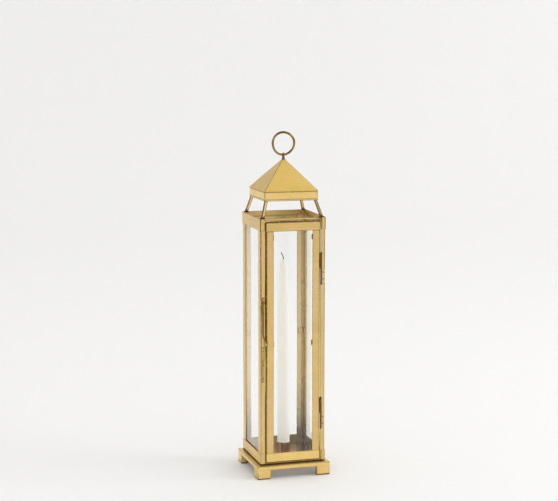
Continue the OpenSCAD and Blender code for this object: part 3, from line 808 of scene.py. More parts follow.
def makeBaseTray():
    low, high = box("base_tray")
    reach, thick = high[0], baseLook["sheet"]
    section = [(0, high[2] - thick), (reach - thick, high[2] - thick), (reach - thick, low[2]),
               (reach, low[2]), (reach, high[2]), (0, high[2])]
    radii = [0, sheet["fold"], baseLook["hem"], baseLook["hem"], baseLook["bend"], 0]
    outline = denser(roundCorners(section, radii), baseLook["step"])
    corner = np.clip(baseLook["corner"] - (reach - outline[0][:, 0]), baseLook["sharpest"], None)
    corner = np.minimum(corner, np.maximum(outline[0][:, 0], tiny))
    grid, bend, uv, closed = squareTurn(outline, corner, sides=30)
    # no dark line on the hem where a foot is soldered flush below it
    overLeg = np.abs(grid[..., :2]).min(axis=2) > reach - feetLook["leg"] - feetLook["beyond"]
    onHem = grid[..., 2] < low[2] + baseLook["unlined"]
    bend = np.where(overLeg & onHem, 0.0, bend)
    piece("baseTray", (grid, bend, uv, closed), "lantern", paleBrass, ["base_tray"])


def angleOutline(outer, legX, legY, thickX, thickY, bend, sx=-1, sy=-1):
    # an angle section with its corner at outer, front left: legs along x and y
    x, y = outer
    corners = [(x, y), (x + legX, y), (x + legX, y + thickX), (x + thickY, y + thickX),
               (x + thickY, y + legY), (x, y + legY)]
    edge = sheet["edge"]
    radii = [bend, edge, edge, sheet["fold"], edge, edge]
    if sx * sy < 0:
        radii = radii[::-1]
    return roundCorners(mirrored(corners, sx, sy), radii)


def makeFeet():
    for name, (sx, sy) in quarters.items():
        low, high = box("foot_" + name)
        reach = max(abs(low[0]), abs(high[0]))
        leg = high[0] - low[0]
        outline = denser(angleOutline((-reach, -reach), leg, leg, feetLook["thick"], feetLook["thick"],
                                      feetLook["corner"], sx, sy), feetLook["step"])
        grid, bend, uv, closed = turned(extrusion(outline, low[2], high[2], feetLook["edge"], rows=5))
        grid[-4:, :, :2] = grid[-5, :, :2]             # the top meets the tray without a rounding
        bend[-5:] = 0.0
        piece("foot" + camel(name), (grid, bend, uv, closed), "lantern", paleBrass,
              ["foot_" + name])


panLook = {"corner": 1.0 * mm, "step": 7 * mm}


def makeFloorPan():
    low, high = box("floor_pan")
    section = [(0, low[2]), (high[0], low[2]), (high[0], high[2]), (0, high[2])]
    outline = denser(roundCorners(section, [0, sheet["edge"], sheet["edge"], 0]), panLook["step"])
    corner = np.minimum(panLook["corner"], np.maximum(outline[0][:, 0], tiny))
    piece("floorPan", squareTurn(outline, corner), "lantern", polished, ["floor_pan"])


makeBaseTray()
makeFeet()
makeFloorPan()
print("base made")


collarLook = {"step": 9 * mm, "returned": 9 * mm, "lip": 3.5 * mm, "lap": 0.4 * mm, "gusset": 13 * mm,
              "gussetThick": 1.5 * mm, "gussetCut": 0.55, "below": 0.05 * mm}


def collarWall(node):
    # three walls with a short return at each front corner, as one folded strip seen from above
    low, high = box(node)
    outer, inner = high[0], high[0] - sheet["thick"]
    cut = outer - collarLook["returned"]
    corners = [(-outer, -outer), (-cut, -outer), (-cut, -inner), (-inner, -inner), (-inner, inner),
               (inner, inner), (inner, -inner), (cut, -inner), (cut, -outer), (outer, -outer),
               (outer, outer), (-outer, outer)]
    bend, fold, edge = sheet["bend"], sheet["fold"], sheet["edge"]
    radii = [bend, edge, edge, fold, fold, fold, fold, edge, edge, bend, bend, bend]
    outline = denser(roundCorners(corners, radii), collarLook["step"])
    return turned(extrusion(outline, low[2], high[2], sheet["edge"], rows=4))


def plate(lowX, highX, lowY, highY, low, high, radius, step=12 * mm):
    # a flat bar: a rectangle seen from above with rounded corners, carried upwards
    corners = [(lowX, lowY), (highX, lowY), (highX, highY), (lowX, highY)]
    return extrusion(denser(roundCorners(corners, radius), step), low, high, sheet["edge"], rows=2)


def makeCollars():
    piece("lowerCollar", collarWall("lower_collar"), "lantern", satin, ["lower_collar"])
    high = box("upper_collar")[1]
    outer, inner = high[0], high[0] - sheet["thick"]
    cut = outer - collarLook["returned"]
    lap = collarLook["lap"]
    lip = plate(-cut - lap, cut + lap, -outer, -inner, high[2] - collarLook["lip"], high[2], sheet["edge"])
    parts = [collarWall("upper_collar"), turned(lip)]
    size, thick = collarLook["gusset"], collarLook["gussetThick"]
    cutOff = size * collarLook["gussetCut"]
    for sx, sy in quarters.values():
        corners = [(-inner, -inner), (-inner + size, -inner), (-inner + size, -inner + cutOff),
                   (-inner + cutOff, -inner + size), (-inner, -inner + size)]
        radii = np.array([0.4, 0.4, 2.5, 2.5, 0.4]) * mm
        outline = roundCorners(mirrored(corners, sx, sy), radii if sx * sy > 0 else radii[::-1])
        top = high[2] - collarLook["below"]
        parts.append(extrusion(outline, high[2] - thick, top, sheet["edge"], rows=2))
    piece("upperCollar", parts, "lantern", satin, ["upper_collar"])


postLook = {"thick": 1.5 * mm, "rows": 36, "step": 6 * mm}


def makePosts():
    for name, (sx, sy) in quarters.items():
        low, high = box("post_" + name)
        outer = max(abs(low[0]), abs(high[0]))
        outline = angleOutline((-outer, -outer), high[0] - low[0], high[1] - low[1],
                               postLook["thick"], postLook["thick"], sheet["bend"], sx, sy)
        outline = denser(outline, postLook["step"])
        wall = extrusion(outline, low[2], high[2], sheet["edge"], rows=postLook["rows"])
        piece("post" + camel(name), wall, "lantern", satin, ["post_" + name])


makeCollars()
makePosts()
print("collars and posts made")


sides = {"left": 0, "back": -90, "right": 180}     # turn of each fixed side from the left one


def quarterTurn(part, degrees):
    # the whole part turned about the upright middle line
    cos, sin = math.cos(math.radians(degrees)), math.sin(math.radians(degrees))
    return place(part, x=(cos, sin, 0), y=(-sin, cos, 0))


paneLook = {"edge": 0.35 * mm, "step": 20 * mm}
clipLook = {"thick": 0.8 * mm, "height": 11 * mm, "tab": 13 * mm, "fold": 0.25 * mm, "doorFold": 0.2 * mm,
            "edge": 0.2 * mm, "shoulder": 0.6}


def pane(reach, low, high, thick):
    # a sheet of glass with ground edges: its upright section, carried across the opening.
    # Its own z then runs across, its own x through the glass
    corners = [(0, low), (thick, low), (thick, high), (0, high)]
    outline = denser(roundCorners(corners, paneLook["edge"]), paneLook["step"])
    return extrusion(outline, -reach, reach, paneLook["edge"], rows=8)


def makePanes():
    low, high = box("glass_left")
    reach, thick = high[1], high[0] - low[0]
    for name, degrees in sides.items():
        flat = place(pane(reach, low[2], high[2], thick), (low[0], 0, 0), (1, 0, 0), (0, 0, 1), (0, -1, 0))
        sheetOfGlass = piece("pane" + name.capitalize(), quarterTurn(flat, degrees), "lantern", glass,
                             ["glass_" + name], smooth=30)
        sheetOfGlass.visible_shadow = False
        clips = []
        clipLow, clipHigh = box("pane_clips_left")
        tall, thin = clipLook["height"], clipLook["thick"]
        face, wide = clipLow[0] + thin / 2, clipHigh[1]
        lift = clipHigh[0] - clipLow[0] - thin
        shoulder = reach + thin * clipLook["shoulder"]
        strip = [(face, -wide), (face, -shoulder), (face + lift, -shoulder),
                 (face + lift, -wide + clipLook["tab"])]
        outline = roundCorners(stripOutline(strip, thin), clipLook["fold"], steps=2)
        middle = (clipLow[2] + clipHigh[2]) / 2
        for start in (clipLow[2], middle - tall / 2, clipHigh[2] - tall):
            clip = extrusion(outline, start, start + tall, clipLook["edge"], rows=2)
            clips += [clip, place(clip, y=(0, -1, 0))]
        clips = [quarterTurn(clip, degrees) for clip in clips]
        piece("paneClips" + name.capitalize(), clips, "lantern", agedAndShaded, ["pane_clips_" + name])


makePanes()
print("fixed panes made")


strutLook = {"corner": 0.9 * mm, "edge": 0.2 * mm, "step": 3 * mm, "inset": 3 * mm, "bead": 3.6 * mm,
             "beadShare": 0.2, "beadHeight": 2.4 * mm}
strutTwist = {"front_left": 0.0, "front_right": -7.0, "back_left": 3.0, "back_right": -2.0}   # degrees
roofSizes = {
    "ledge": 12.5 * mm,        # ledge inside the band
    "ledgeRise": 6 * mm,
    "hem": 2.4 * mm,
    "hemOut": 0.4 * mm,
    "corner": 1.3 * mm,
    "wall": 1.6 * mm,
    "rim": 1.2 * mm,           # lower edge of the pyramid, which laps into the band
    "seam": 0.7 * mm,
    "ridge": 0.9 * mm,
    "pillow": 0.35 * mm,       # how far the slopes swell
    "tip": 2.1 * mm,
    "sharpest": 0.3 * mm,
}
sunk = 0.3 * mm                # how far a dome reaches into what it sits on


def bead(centre, radius, height, seed):
    # a run of solder: a low dome whose rim wanders in and out
    section = [(0, -sunk), (radius, -sunk), (radius * 0.92, height * 0.45), (radius * 0.5, height * 0.9),
               (0, height)]
    points = np.array(section)
    outline = (*smoothOutline(points)[:2], -np.ones(len(points)))
    grid, bend, uv, closed = roundTurn(denser(outline, 0.8 * mm), 20)
    angle = np.arctan2(grid[..., 1], grid[..., 0])
    lumps = 1 + 0.16 * np.sin(3 * angle + seed) + 0.09 * np.sin(7 * angle + 2.3 * seed)
    return place((grid * np.stack([lumps, lumps, np.ones_like(lumps)], 2), bend, uv, closed), centre)


def strutWidth(low, high):
    # the bar leans in by the same amount both ways, so its width is what the lean leaves of its box
    bandHigh = box("roof_band")[1]
    lean = max(abs(low[0]), abs(high[0])) - (bandHigh[0] - roofSizes["hemOut"] - strutLook["inset"])
    return high[0] - low[0] - lean


def makeStruts():
    for seed, (name, (sx, sy)) in enumerate(quarters.items()):
        low, high = box("strut_" + name)
        wide = strutWidth(low, high)
        footAt = np.array([low[0] if sx < 0 else high[0], low[1] if sy < 0 else high[1]])
        footAt = footAt - np.array([sx, sy]) * wide / 2
        headAt = np.array([high[0] if sx < 0 else low[0], high[1] if sy < 0 else low[1]])
        headAt = headAt + np.array([sx, sy]) * wide / 2
        corners = np.array([(-1, -1), (1, -1), (1, 1), (-1, 1)]) * wide / 2
        outline = denser(roundCorners(corners, strutLook["corner"]), strutLook["step"])
        grid, bend, uv, closed = extrusion(outline, low[2], high[2], strutLook["edge"], rows=8)
        share = (grid[..., 2] - low[2]) / (high[2] - low[2])
        turn = math.radians(strutTwist[name]) * share
        x = grid[..., 0] * np.cos(turn) - grid[..., 1] * np.sin(turn)
        y = grid[..., 0] * np.sin(turn) + grid[..., 1] * np.cos(turn)
        middle = footAt + share[..., None] * (headAt - footAt)
        grid = np.stack([x + middle[..., 0], y + middle[..., 1], grid[..., 2]], 2)
        beadWide = strutLook["bead"] + wide * strutLook["beadShare"]
        solder = bead((footAt[0], footAt[1], low[2]), beadWide, strutLook["beadHeight"], seed)
        piece("strut" + camel(name), [(grid, bend, uv, closed), solder], "lantern", strutLitAndShadedBrass[name],
              ["strut_" + name], extraShade=strutSideShade[name])


sideShadeFrom = {"foot": (0.5335, 0.5290), "side": (0.3, 0.9)}      # heights, and how far a face looks sideways


def paintedShadeOnSides(left, right):
    # painted shade on a strut's left and right faces, and on the foot where it was soldered
    def extraShade(points, normals):
        foot = ramp(points[:, 2], *sideShadeFrom["foot"])
        onLeft, onRight = ramp(-normals[:, 0], *sideShadeFrom["side"]), ramp(normals[:, 0], *sideShadeFrom["side"])
        return np.maximum(foot, left * onLeft + right * onRight)
    return extraShade


# lit and shaded copies of one brass, one for each strut as light falls on it: painted light on the front left
# and back left struts, painted shade on the front right one
strutLitLook = dict(satinLook, clouds=30.0, rough=0.16, bright=(0.98, 0.78, 0.36, 1), dull=(0.90, 0.64, 0.24, 1))
strutWarmLitLook = dict(strutLitLook, bright=(0.86, 0.56, 0.22, 1), dull=(0.80, 0.50, 0.18, 1), lined=0.9)
strutShadedLook = dict(strutLitLook, bright=(0.56, 0.44, 0.17, 1), dull=(0.40, 0.29, 0.09, 1), lined=0.9)
strutLitAndShadedBrass = {"front_left": brass("strutGold", strutLitLook), "back_left": brass("strutCopper", strutWarmLitLook),
              "front_right": brass("strutOlive", strutShadedLook), "back_right": satin}
strutSideShade = {"front_left": paintedShadeOnSides(0.95, 0), "back_left": paintedShadeOnSides(0.5, 0.6),
             "front_right": paintedShadeOnSides(1, 1), "back_right": paintedShadeOnSides(0.4, 0)}


def makeRoof():
    low, high = box("roof_band")
    hem, out = roofSizes["hem"], roofSizes["hemOut"]
    outer = high[0] - out
    inner, ledgeIn = outer - sheet["thick"], outer - sheet["thick"] - roofSizes["ledge"]
    ledge = low[2] + roofSizes["ledgeRise"]
    top = high[2] - roofSizes["seam"]
    ledgeTop = ledge + sheet["thick"]
    section = [(inner, top), (inner, ledgeTop), (ledgeIn, ledgeTop), (ledgeIn, ledge), (inner, ledge),
               (inner, low[2]), (outer + out, low[2]), (outer + out, low[2] + hem),
               (outer, low[2] + hem + out), (outer, top)]
    radii = np.array([0.2, 0.3, 0.3, 0.3, 0.3, 0.3, 0.45, 0.3, 0.2, 0.35]) * mm
    outline = denser(roundCorners(section, radii, steps=3), 5 * mm)
    corner = np.clip(roofSizes["corner"] - (outer - outline[0][:, 0]), roofSizes["sharpest"], None)
    piece("roofBand", squareTurn(outline, corner), "lantern", paleBrass, ["roof_band"])

    low, high = box("roof_pyramid")
    reach, tip = high[0], roofSizes["tip"]
    wall = roofSizes["wall"]
    # the slope runs from eave to tip; half way up it swells by the pillow, as a formed sheet does
    seam, rim = roofSizes["seam"], roofSizes["rim"]
    hollowTop = high[2] - wall * 1.3
    section = [(0, hollowTop), (tip * 0.7, hollowTop), (reach - wall, low[2] + 0.1 * mm),
               (reach - wall, low[2] - seam), (reach - rim, low[2] - seam), (reach - rim, low[2]),
               (reach, low[2]), (reach, low[2] + seam), (tip, high[2]), (0, high[2])]
    radii = np.array([0, 0.5, 0.2, 0.1, 0.1, 0.1, 0.3, 0.35, 0.8, 0]) * mm
    points, normals, bend = denser(roundCorners(section, radii, steps=3), 4 * mm)
    climb = np.clip((points[:, 1] - low[2]) / (high[2] - low[2]), 0, 1)
    points = points + normals * (roofSizes["pillow"] * np.sin(math.pi * climb))[:, None]
    corner = np.minimum(roofSizes["ridge"], np.maximum(points[:, 0], tiny))
    piece("roofPyramid", squareTurn((points, normals, bend), corner), "lantern", roofBrass,
          ["roof_pyramid"])


makeStruts()
makeRoof()
print("roof made")


finialLook = {"foot": 3.0 * mm, "neck": 2.6 * mm, "wide": 3.2 * mm, "wall": 0.95 * mm, "round": 0.4 * mm,
              "play": 0.45 * mm, "gap": 0.4 * mm, "bead": 3.6 * mm, "beadHeight": 1.6 * mm, "beadTurn": 1.3}
ringSizes = {
    "seam": 58.0,              # degrees round from the right
    "swell": 0.10,             # solder heaped at the seam, as a share of the wire
    "groove": 0.14,
    "wobble": 0.012,           # how far the circle wanders
    "columns": 20,
    "steps": 96,
}


def circleOutline(away, radius, count):
    # a circle whose centre lies away from the middle line
    angle = np.linspace(0, 2 * math.pi, count, endpoint=False)
    return smoothOutline(np.stack([away + radius * np.cos(angle), radius * np.sin(angle)], 1))


finialBrass = brass("finialBrass", dict(agedAndShadedLook, bright=(0.34, 0.17, 0.07, 1), dull=(0.18, 0.08, 0.035, 1)))


def makeFinial():
    low, high = box("finial_eye")
    ringLow, ringHigh = box("carry_ring")
    wire = (ringHigh[1] - ringLow[1]) / 2
    hole = wire + finialLook["play"]
    eyeR, wide = hole + finialLook["wall"], finialLook["wide"] / 2
    middle = high[2] - eyeR
    top = middle - hole - finialLook["gap"]
    stem = [(0, low[2]), (finialLook["foot"], low[2]), (finialLook["foot"] * 0.96, (low[2] + top) / 2),
            (finialLook["neck"], top), (0, top)]
    stemTurn = roundTurn(denser(roundCorners(stem, np.array([0, 0.4, 1.5, 0.8, 0]) * mm), 1 * mm), 32)
    eye = [(hole, -wide), (eyeR, -wide), (eyeR, wide), (hole, wide)]
    eyeTurn = roundTurn(denser(roundCorners(eye, finialLook["round"]), 0.8 * mm), 40)
    eyeTurn = place(eyeTurn, (0, 0, middle), (0, 1, 0), (0, 0, 1), (1, 0, 0))
    solder = bead((0, 0, low[2] - finialLook["gap"]), finialLook["bead"], finialLook["beadHeight"],
                  finialLook["beadTurn"])
    piece("finialEye", [stemTurn, eyeTurn, solder], "lantern", finialBrass, ["finial_eye"])


def makeRing():
    # a wire circle: its section turned about the ring's own middle, thinner and lumpy at the
    # soldered seam
    low, high = box("carry_ring")
    wire = (high[1] - low[1]) / 2
    radius = (high[0] - low[0]) / 2 - wire
    section = circleOutline(radius, wire, ringSizes["columns"])
    grid, bend, uv, closed = roundTurn(section, ringSizes["steps"])
    angle = np.arctan2(grid[..., 1], grid[..., 0])
    away = (angle - math.radians(ringSizes["seam"])) * radius / mm
    swell = 1 + ringSizes["swell"] * np.exp(-(away / 2.2) ** 2)
    swell = swell - ringSizes["groove"] * np.exp(-(away / 0.5) ** 2)
    wobble = 1 + ringSizes["wobble"] * np.sin(3 * angle + 1.0)
    core = np.stack([radius * np.cos(angle), radius * np.sin(angle), np.zeros_like(angle)], 2)
    grid = core * wobble[..., None] + (grid - core) * swell[..., None]
    bend = -1.0 * np.exp(-(away / 0.8) ** 2)
    middle = (0, 0, (low[2] + high[2]) / 2)
    standing = place((grid, bend, uv, closed), middle, (1, 0, 0), (0, 0, 1), (0, 1, 0))
    piece("carryRing", standing, "ring", ringBrass, ["carry_ring"])


makeFinial()
makeRing()
print("finial and ring made")


doorLook = {"plate": 1.5 * mm, "folded": 1.2 * mm, "bend": 1.9 * mm, "hem": 0.45 * mm, "edge": 0.3 * mm,
            "cut": 0.15 * mm, "railEnd": 0.5 * mm, "step": 5 * mm, "lap": 1.5 * mm}


def makeDoorFrame():
    hem, edge, folded = doorLook["hem"], doorLook["edge"], doorLook["folded"]
    for side in ("left", "right"):
        low, high = box("door_stile_" + side)
        back = low[1] + doorLook["plate"]
        if side == "left":
            corners = [(low[0], low[1]), (high[0], low[1]), (high[0], back), (low[0] + folded, back),
                       (low[0] + folded, high[1]), (low[0], high[1])]
            radii = [doorLook["bend"], hem, edge, edge, edge, edge]
        else:
            corners = [(low[0], low[1]), (high[0], low[1]), (high[0], high[1]), (high[0] - folded, high[1]),
                       (high[0] - folded, back), (low[0], back)]
            radii = [hem, doorLook["bend"], edge, edge, edge, edge]
        outline = denser(roundCorners(corners, radii), doorLook["step"])
        stile = extrusion(outline, low[2], high[2], doorLook["cut"], rows=36)
        piece("doorStile" + side.capitalize(), stile, "door", satin, ["door_stile_" + side])
    for name, up in (("top", 1), ("bottom", -1)):
        low, high = box("door_rail_" + name)
        outer = high[2] if up > 0 else low[2]
        inner = low[2] if up > 0 else high[2]
        back = low[1] + doorLook["plate"]
        # seen from the right end: its own x is the depth, its own y the height
        under = outer - up * folded
        corners = [(low[1], inner), (back, inner), (back, under), (high[1], under), (high[1], outer),
                   (low[1], outer)]
        radii = [hem, edge, edge, edge, edge, doorLook["bend"]]
        if up < 0:
            corners, radii = corners[::-1], radii[::-1]
        rail = extrusion(denser(roundCorners(corners, radii), doorLook["step"]), low[0], high[0],
                         doorLook["railEnd"], rows=14)
        parts = [place(rail, x=(0, 1, 0), y=(0, 0, 1), z=(1, 0, 0))]
        for start in (low[0], high[0] - folded):
            parts.append(plate(start, start + folded, low[1] + doorLook["plate"] * 0.6, high[1],
                               low[2] + 0.2 * mm, high[2] - 0.2 * mm, 0.25 * mm))
        piece("doorRail" + name.capitalize(), parts, "door", paleBrass if up < 0 else satin,
              ["door_rail_" + name])


def makeDoorGlass():
    low, high = box("door_glass")
    flat = place(pane((high[0] - low[0]) / 2, low[2], high[2], high[1] - low[1]),
                 ((low[0] + high[0]) / 2, low[1], 0), (0, 1, 0), (0, 0, 1), (1, 0, 0))
    doorPane = piece("doorPane", flat, "door", glass, ["door_glass"], smooth=30)
    doorPane.visible_shadow = False
    low, high = box("door_glass_clips")
    tall, thin = clipLook["height"], clipLook["thick"]
    middle = (low[2] + high[2]) / 2
    stile = box("door_stile_left")
    reach = stile[1][0] + doorLook["lap"] - low[0]
    front, left, right = low[1] + thin / 2, low[0] + thin / 2, high[0] - thin / 2
    leftStrip = [(low[0] + reach, front), (left, front), (left, high[1])]
    rightStrip = [(right, high[1]), (right, front), (high[0] - reach, front)]
    parts = []
    for line in (leftStrip, rightStrip):
        outline = roundCorners(stripOutline(line, thin), clipLook["doorFold"], steps=2)
        for start in (low[2], middle - tall / 2, high[2] - tall):
            parts.append(extrusion(outline, start, start + tall, clipLook["edge"], rows=2))
    piece("doorPaneClips", parts, "door", agedAndShaded, ["door_glass_clips"])


makeDoorFrame()
makeDoorGlass()
print("door made")


hingeLook = {
    "strip": 0.9 * mm,         # sheet that is rolled round the pin
    "wrap": 300.0,             # degrees of the roll
    "pin": 1.05 * mm,
    "head": 1.7 * mm,          # height of each pin head
    "edge": 0.15 * mm,
    "end": 0.2 * mm,           # leaf short of its box, sideways
    "lay": 0.5 * mm,           # its middle line in front of the post
    "postRun": 1.6 * mm,       # where the flat ends and the roll begins
    "doorRun": 1.5 * mm,
    "rivets": (0.25, 0.7),     # shares of the leaf's height
}


def rolledLeaf(straight, centre, radius, startAngle):
    # a strip that runs straight and then rolls round its pin, seen from above
    angle = np.radians(startAngle + np.linspace(0, hingeLook["wrap"], 22))
    roll = np.stack([centre[0] + radius * np.cos(angle), centre[1] + radius * np.sin(angle)], 1)
    return smoothOutline(stripOutline(np.vstack([straight, roll]), hingeLook["strip"]))


def turnedPiece(profile, radii, columns, origin, axis):
    # a turned part: a section from pole to pole, stood along y or z
    part = roundTurn(denser(roundCorners(profile, radii, steps=3), 0.6 * mm), columns)
    if axis == "-y":
        return place(part, origin, (1, 0, 0), (0, 0, 1), (0, -1, 0))
    return place(part, origin)


def rivetHead(radius, height, at):
    # a low dome that faces the front
    profile = [(0, -sunk), (radius, -sunk), (radius, height * 0.35), (radius * 0.62, height), (0, height)]
    return turnedPiece(profile, np.array([0, 0.1, 0.3, 0.5, 0]) * mm, 20, at, "-y")


def makeHinges():
    centre = jointAt("door_swing")[:2]
    edge = hingeLook["edge"]
    for where in ("lower", "upper"):
        low, high = box("hinge_leaf_post_" + where)
        barrel = (centre[1] - low[1]) - hingeLook["strip"] / 2
        lay = high[1] - hingeLook["lay"]
        flat = [(high[0] - hingeLook["end"], lay), (centre[0] + hingeLook["postRun"], lay)]
        leaf = extrusion(rolledLeaf(flat, centre, barrel, 70), low[2], high[2], edge, rows=10)
        piece("hingeLeafPost" + where.capitalize(), leaf, "lantern", satin,
              ["hinge_leaf_post_" + where])
        low, high = box("hinge_leaf_door_" + where)
        plateX = centre[0] - barrel
        flat = [(plateX, high[1]), (plateX, centre[1] + hingeLook["doorRun"])]
        leaf = extrusion(rolledLeaf(flat, centre, barrel, 180), low[2], high[2], edge, rows=10)
        piece("hingeLeafDoor" + where.capitalize(), leaf, "door", satin,
              ["hinge_leaf_door_" + where])
        low, high = box("hinge_pin_" + where)
        head, tall, long = (high[0] - low[0]) / 2, hingeLook["head"], high[2] - low[2]
        profile = [(0, 0), (head * 0.75, 0), (head, tall * 0.5), (head, tall), (hingeLook["pin"], tall),
                   (hingeLook["pin"], long - tall), (head, long - tall), (head, long - tall * 0.5),
                   (head * 0.75, long), (0, long)]
        radii = np.array([0, 0.4, 0.5, 0.15, 0.1, 0.1, 0.15, 0.5, 0.4, 0]) * mm
        pin = turnedPiece(profile, radii, 20, (centre[0], centre[1], low[2]), "z")
        piece("hingePin" + where.capitalize(), pin, "lantern", agedAndShaded, ["hinge_pin_" + where],
              warp=False)
    low, high = box("hinge_rivets")
    head = (high[0] - low[0]) / 2
    rivets = []
    for where in ("lower", "upper"):
        leafLow, leafHigh = box("hinge_leaf_post_" + where)
        for share in hingeLook["rivets"]:
            z = leafHigh[2] - share * (leafHigh[2] - leafLow[2])
            rivets.append(rivetHead(head, high[1] - low[1], (low[0] + head, high[1], z)))
    piece("hingeRivets", rivets, "lantern", agedAndShaded, ["hinge_rivets"])


makeHinges()
print("hinges made")


latchLook = {
    "rod": 1.2 * mm,           # radius of the arm
    "eye": 3.6 * mm,
    "eyeHole": 1.45 * mm,
    "neck": 2.6 * mm,          # where the arm leaves its eye
    "kneeRise": 15 * mm,       # height of the knee above the arm's nose
    "kneeRound": 5 * mm,
    "kneeEnd": 0.38,           # share of the foot that the knee's curve takes up
    "shank": 1.3 * mm,
    "head": 1.2 * mm,
    "plateCorner": 1.2 * mm,
    "middleRivet": 27 * mm,    # above the lowest one
}


def frontPlate(outline, back, front, edge):
    # an outline in the front plane, carried forward from back to front
    part = extrusion(outline, 0, back - front, edge, rows=2, face=0.22)
    return place(part, (0, back, 0), (1, 0, 0), (0, 0, 1), (0, -1, 0))


def makeLatch():
    low, high = box("latch_plate")
    corners = [(low[0], low[2]), (high[0], low[2]), (high[0], high[2]), (low[0], high[2])]
    outline = denser(roundCorners(corners, latchLook["plateCorner"]), 4 * mm)
    piece("latchPlate", frontPlate(outline, high[1], low[1], 0.4 * mm), "lantern", plated,
          ["latch_plate"])

    low, high = box("latch_pivot")
    x, z = (low[0] + high[0]) / 2, (low[2] + high[2]) / 2
    head, long = (high[0] - low[0]) / 2, high[1] - low[1]
    shank, under = latchLook["shank"], long - latchLook["head"]
    profile = [(0, 0), (shank, 0), (shank, under), (head, under), (head * 0.66, long), (0, long)]
    pivot = turnedPiece(profile, np.array([0, 0.1, 0.1, 0.3, 0.6, 0]) * mm, 24, (x, high[1], z), "-y")
    piece("latchPivot", pivot, "lantern", agedAndShaded, ["latch_pivot"], warp=False)

    low, high = box("latch_arm")
    top = np.array(jointAt("latch_swing"))
    nose = np.array([high[0] - latchLook["rod"], top[1], low[2] + latchLook["rod"]])
    corner = np.array([top[0], top[1], nose[2] + latchLook["kneeRise"]])
    start = top - [0, 0, latchLook["neck"]]
    first = corner + [0, 0, latchLook["kneeRound"]]
    # a straight run, a knee drawn as the curve between two lines that cross, and a straight foot
    straight = start + np.linspace(0, 1, 14)[:, None] * (first - start)
    share = np.linspace(0, 1, 9)[1:, None]
    towards = corner + (nose - corner) * latchLook["kneeEnd"]
    curve = (1 - share) ** 2 * first + 2 * share * (1 - share) * corner + share ** 2 * towards
    foot = towards + np.linspace(0, 1, 8)[1:, None] * (nose - towards)
    path, radii = roundedRodEnds(np.vstack([straight, curve, foot]), latchLook["rod"])
    rod = rodAlong(path, radii, (0, 1, 0), 14)
    hole, outer, half = latchLook["eyeHole"], latchLook["eye"], latchLook["rod"]
    eye = [(hole, -half), (outer, -half), (outer, half), (hole, half)]
    eyeRing = place(roundTurn(roundCorners(eye, 0.5 * mm), 32), top, (1, 0, 0), (0, 0, 1), (0, -1, 0))
    piece("latchArm", [rod, eyeRing], "latch", agedAndShaded, ["latch_arm"], warp=False)

    low, high = box("latch_rest")
    tall = high[2] - low[2]
    mid = (low[0] + high[0]) / 2
    tail = (high[0] - low[0]) * 0.34
    corners = [(mid - tail, low[2]), (mid + tail, low[2]), (mid + tail, high[2] - tall * 0.44),
               (high[0], high[2] - tall * 0.33), (high[0], high[2]), (low[0], high[2]),
               (low[0], high[2] - tall * 0.33), (mid - tail, high[2] - tall * 0.44)]
    radii = np.array([1.5, 1.5, 3, 3, 0.8, 0.8, 3, 3]) * mm
    outline = denser(roundCorners(corners, radii), 3 * mm)
    piece("latchRest", frontPlate(outline, high[1], low[1], 0.35 * mm), "lantern", plated,
          ["latch_rest"])
    rivetLow, rivetHigh = box("latch_rest_rivets")
    head = (rivetHigh[0] - rivetLow[0]) / 2
    lowest = rivetLow[2] + head
    rivets = [rivetHead(head, rivetHigh[1] - rivetLow[1], (rivetLow[0] + head, rivetHigh[1], z))
              for z in (lowest, lowest + latchLook["middleRivet"], rivetHigh[2] - head)]
    piece("latchRestRivets", rivets, "lantern", agedAndShaded, ["latch_rest_rivets"])

    low, high = box("latch_keeper")
    corners = [(low[0], low[2]), (high[0], low[2]), (high[0], high[2]), (low[0], high[2])]
    outline = roundCorners(corners, np.array([1.6, 0.6, 0.6, 1.6]) * mm)
    piece("latchKeeper", frontPlate(outline, high[1], low[1], 0.25 * mm), "door", plated,
          ["latch_keeper"])


makeLatch()
print("latch made")


candleLook = {
    "tip": 17 * mm,            # height of the cone at the top
    "slim": 0.7,               # radius at the shoulder, as a share of the base's
    "wobble": 0.3 * mm,        # how far dipping leaves it out of round
    "well": 1.05 * mm,         # the dip round the wick, radius and depth
    "wellDeep": 5 * mm,
    "lip": 2.0 * mm,
    "cupWall": 1.3 * mm,
    "cupFloor": 3 * mm,
    "wick": 0.93 * mm,         # radius of the wick
    "wickKnee": 1.0 * mm,      # height at which it begins to lean
    "wickBow": 4 * mm,
    "braid": 0.13,             # depth of its three strands
}


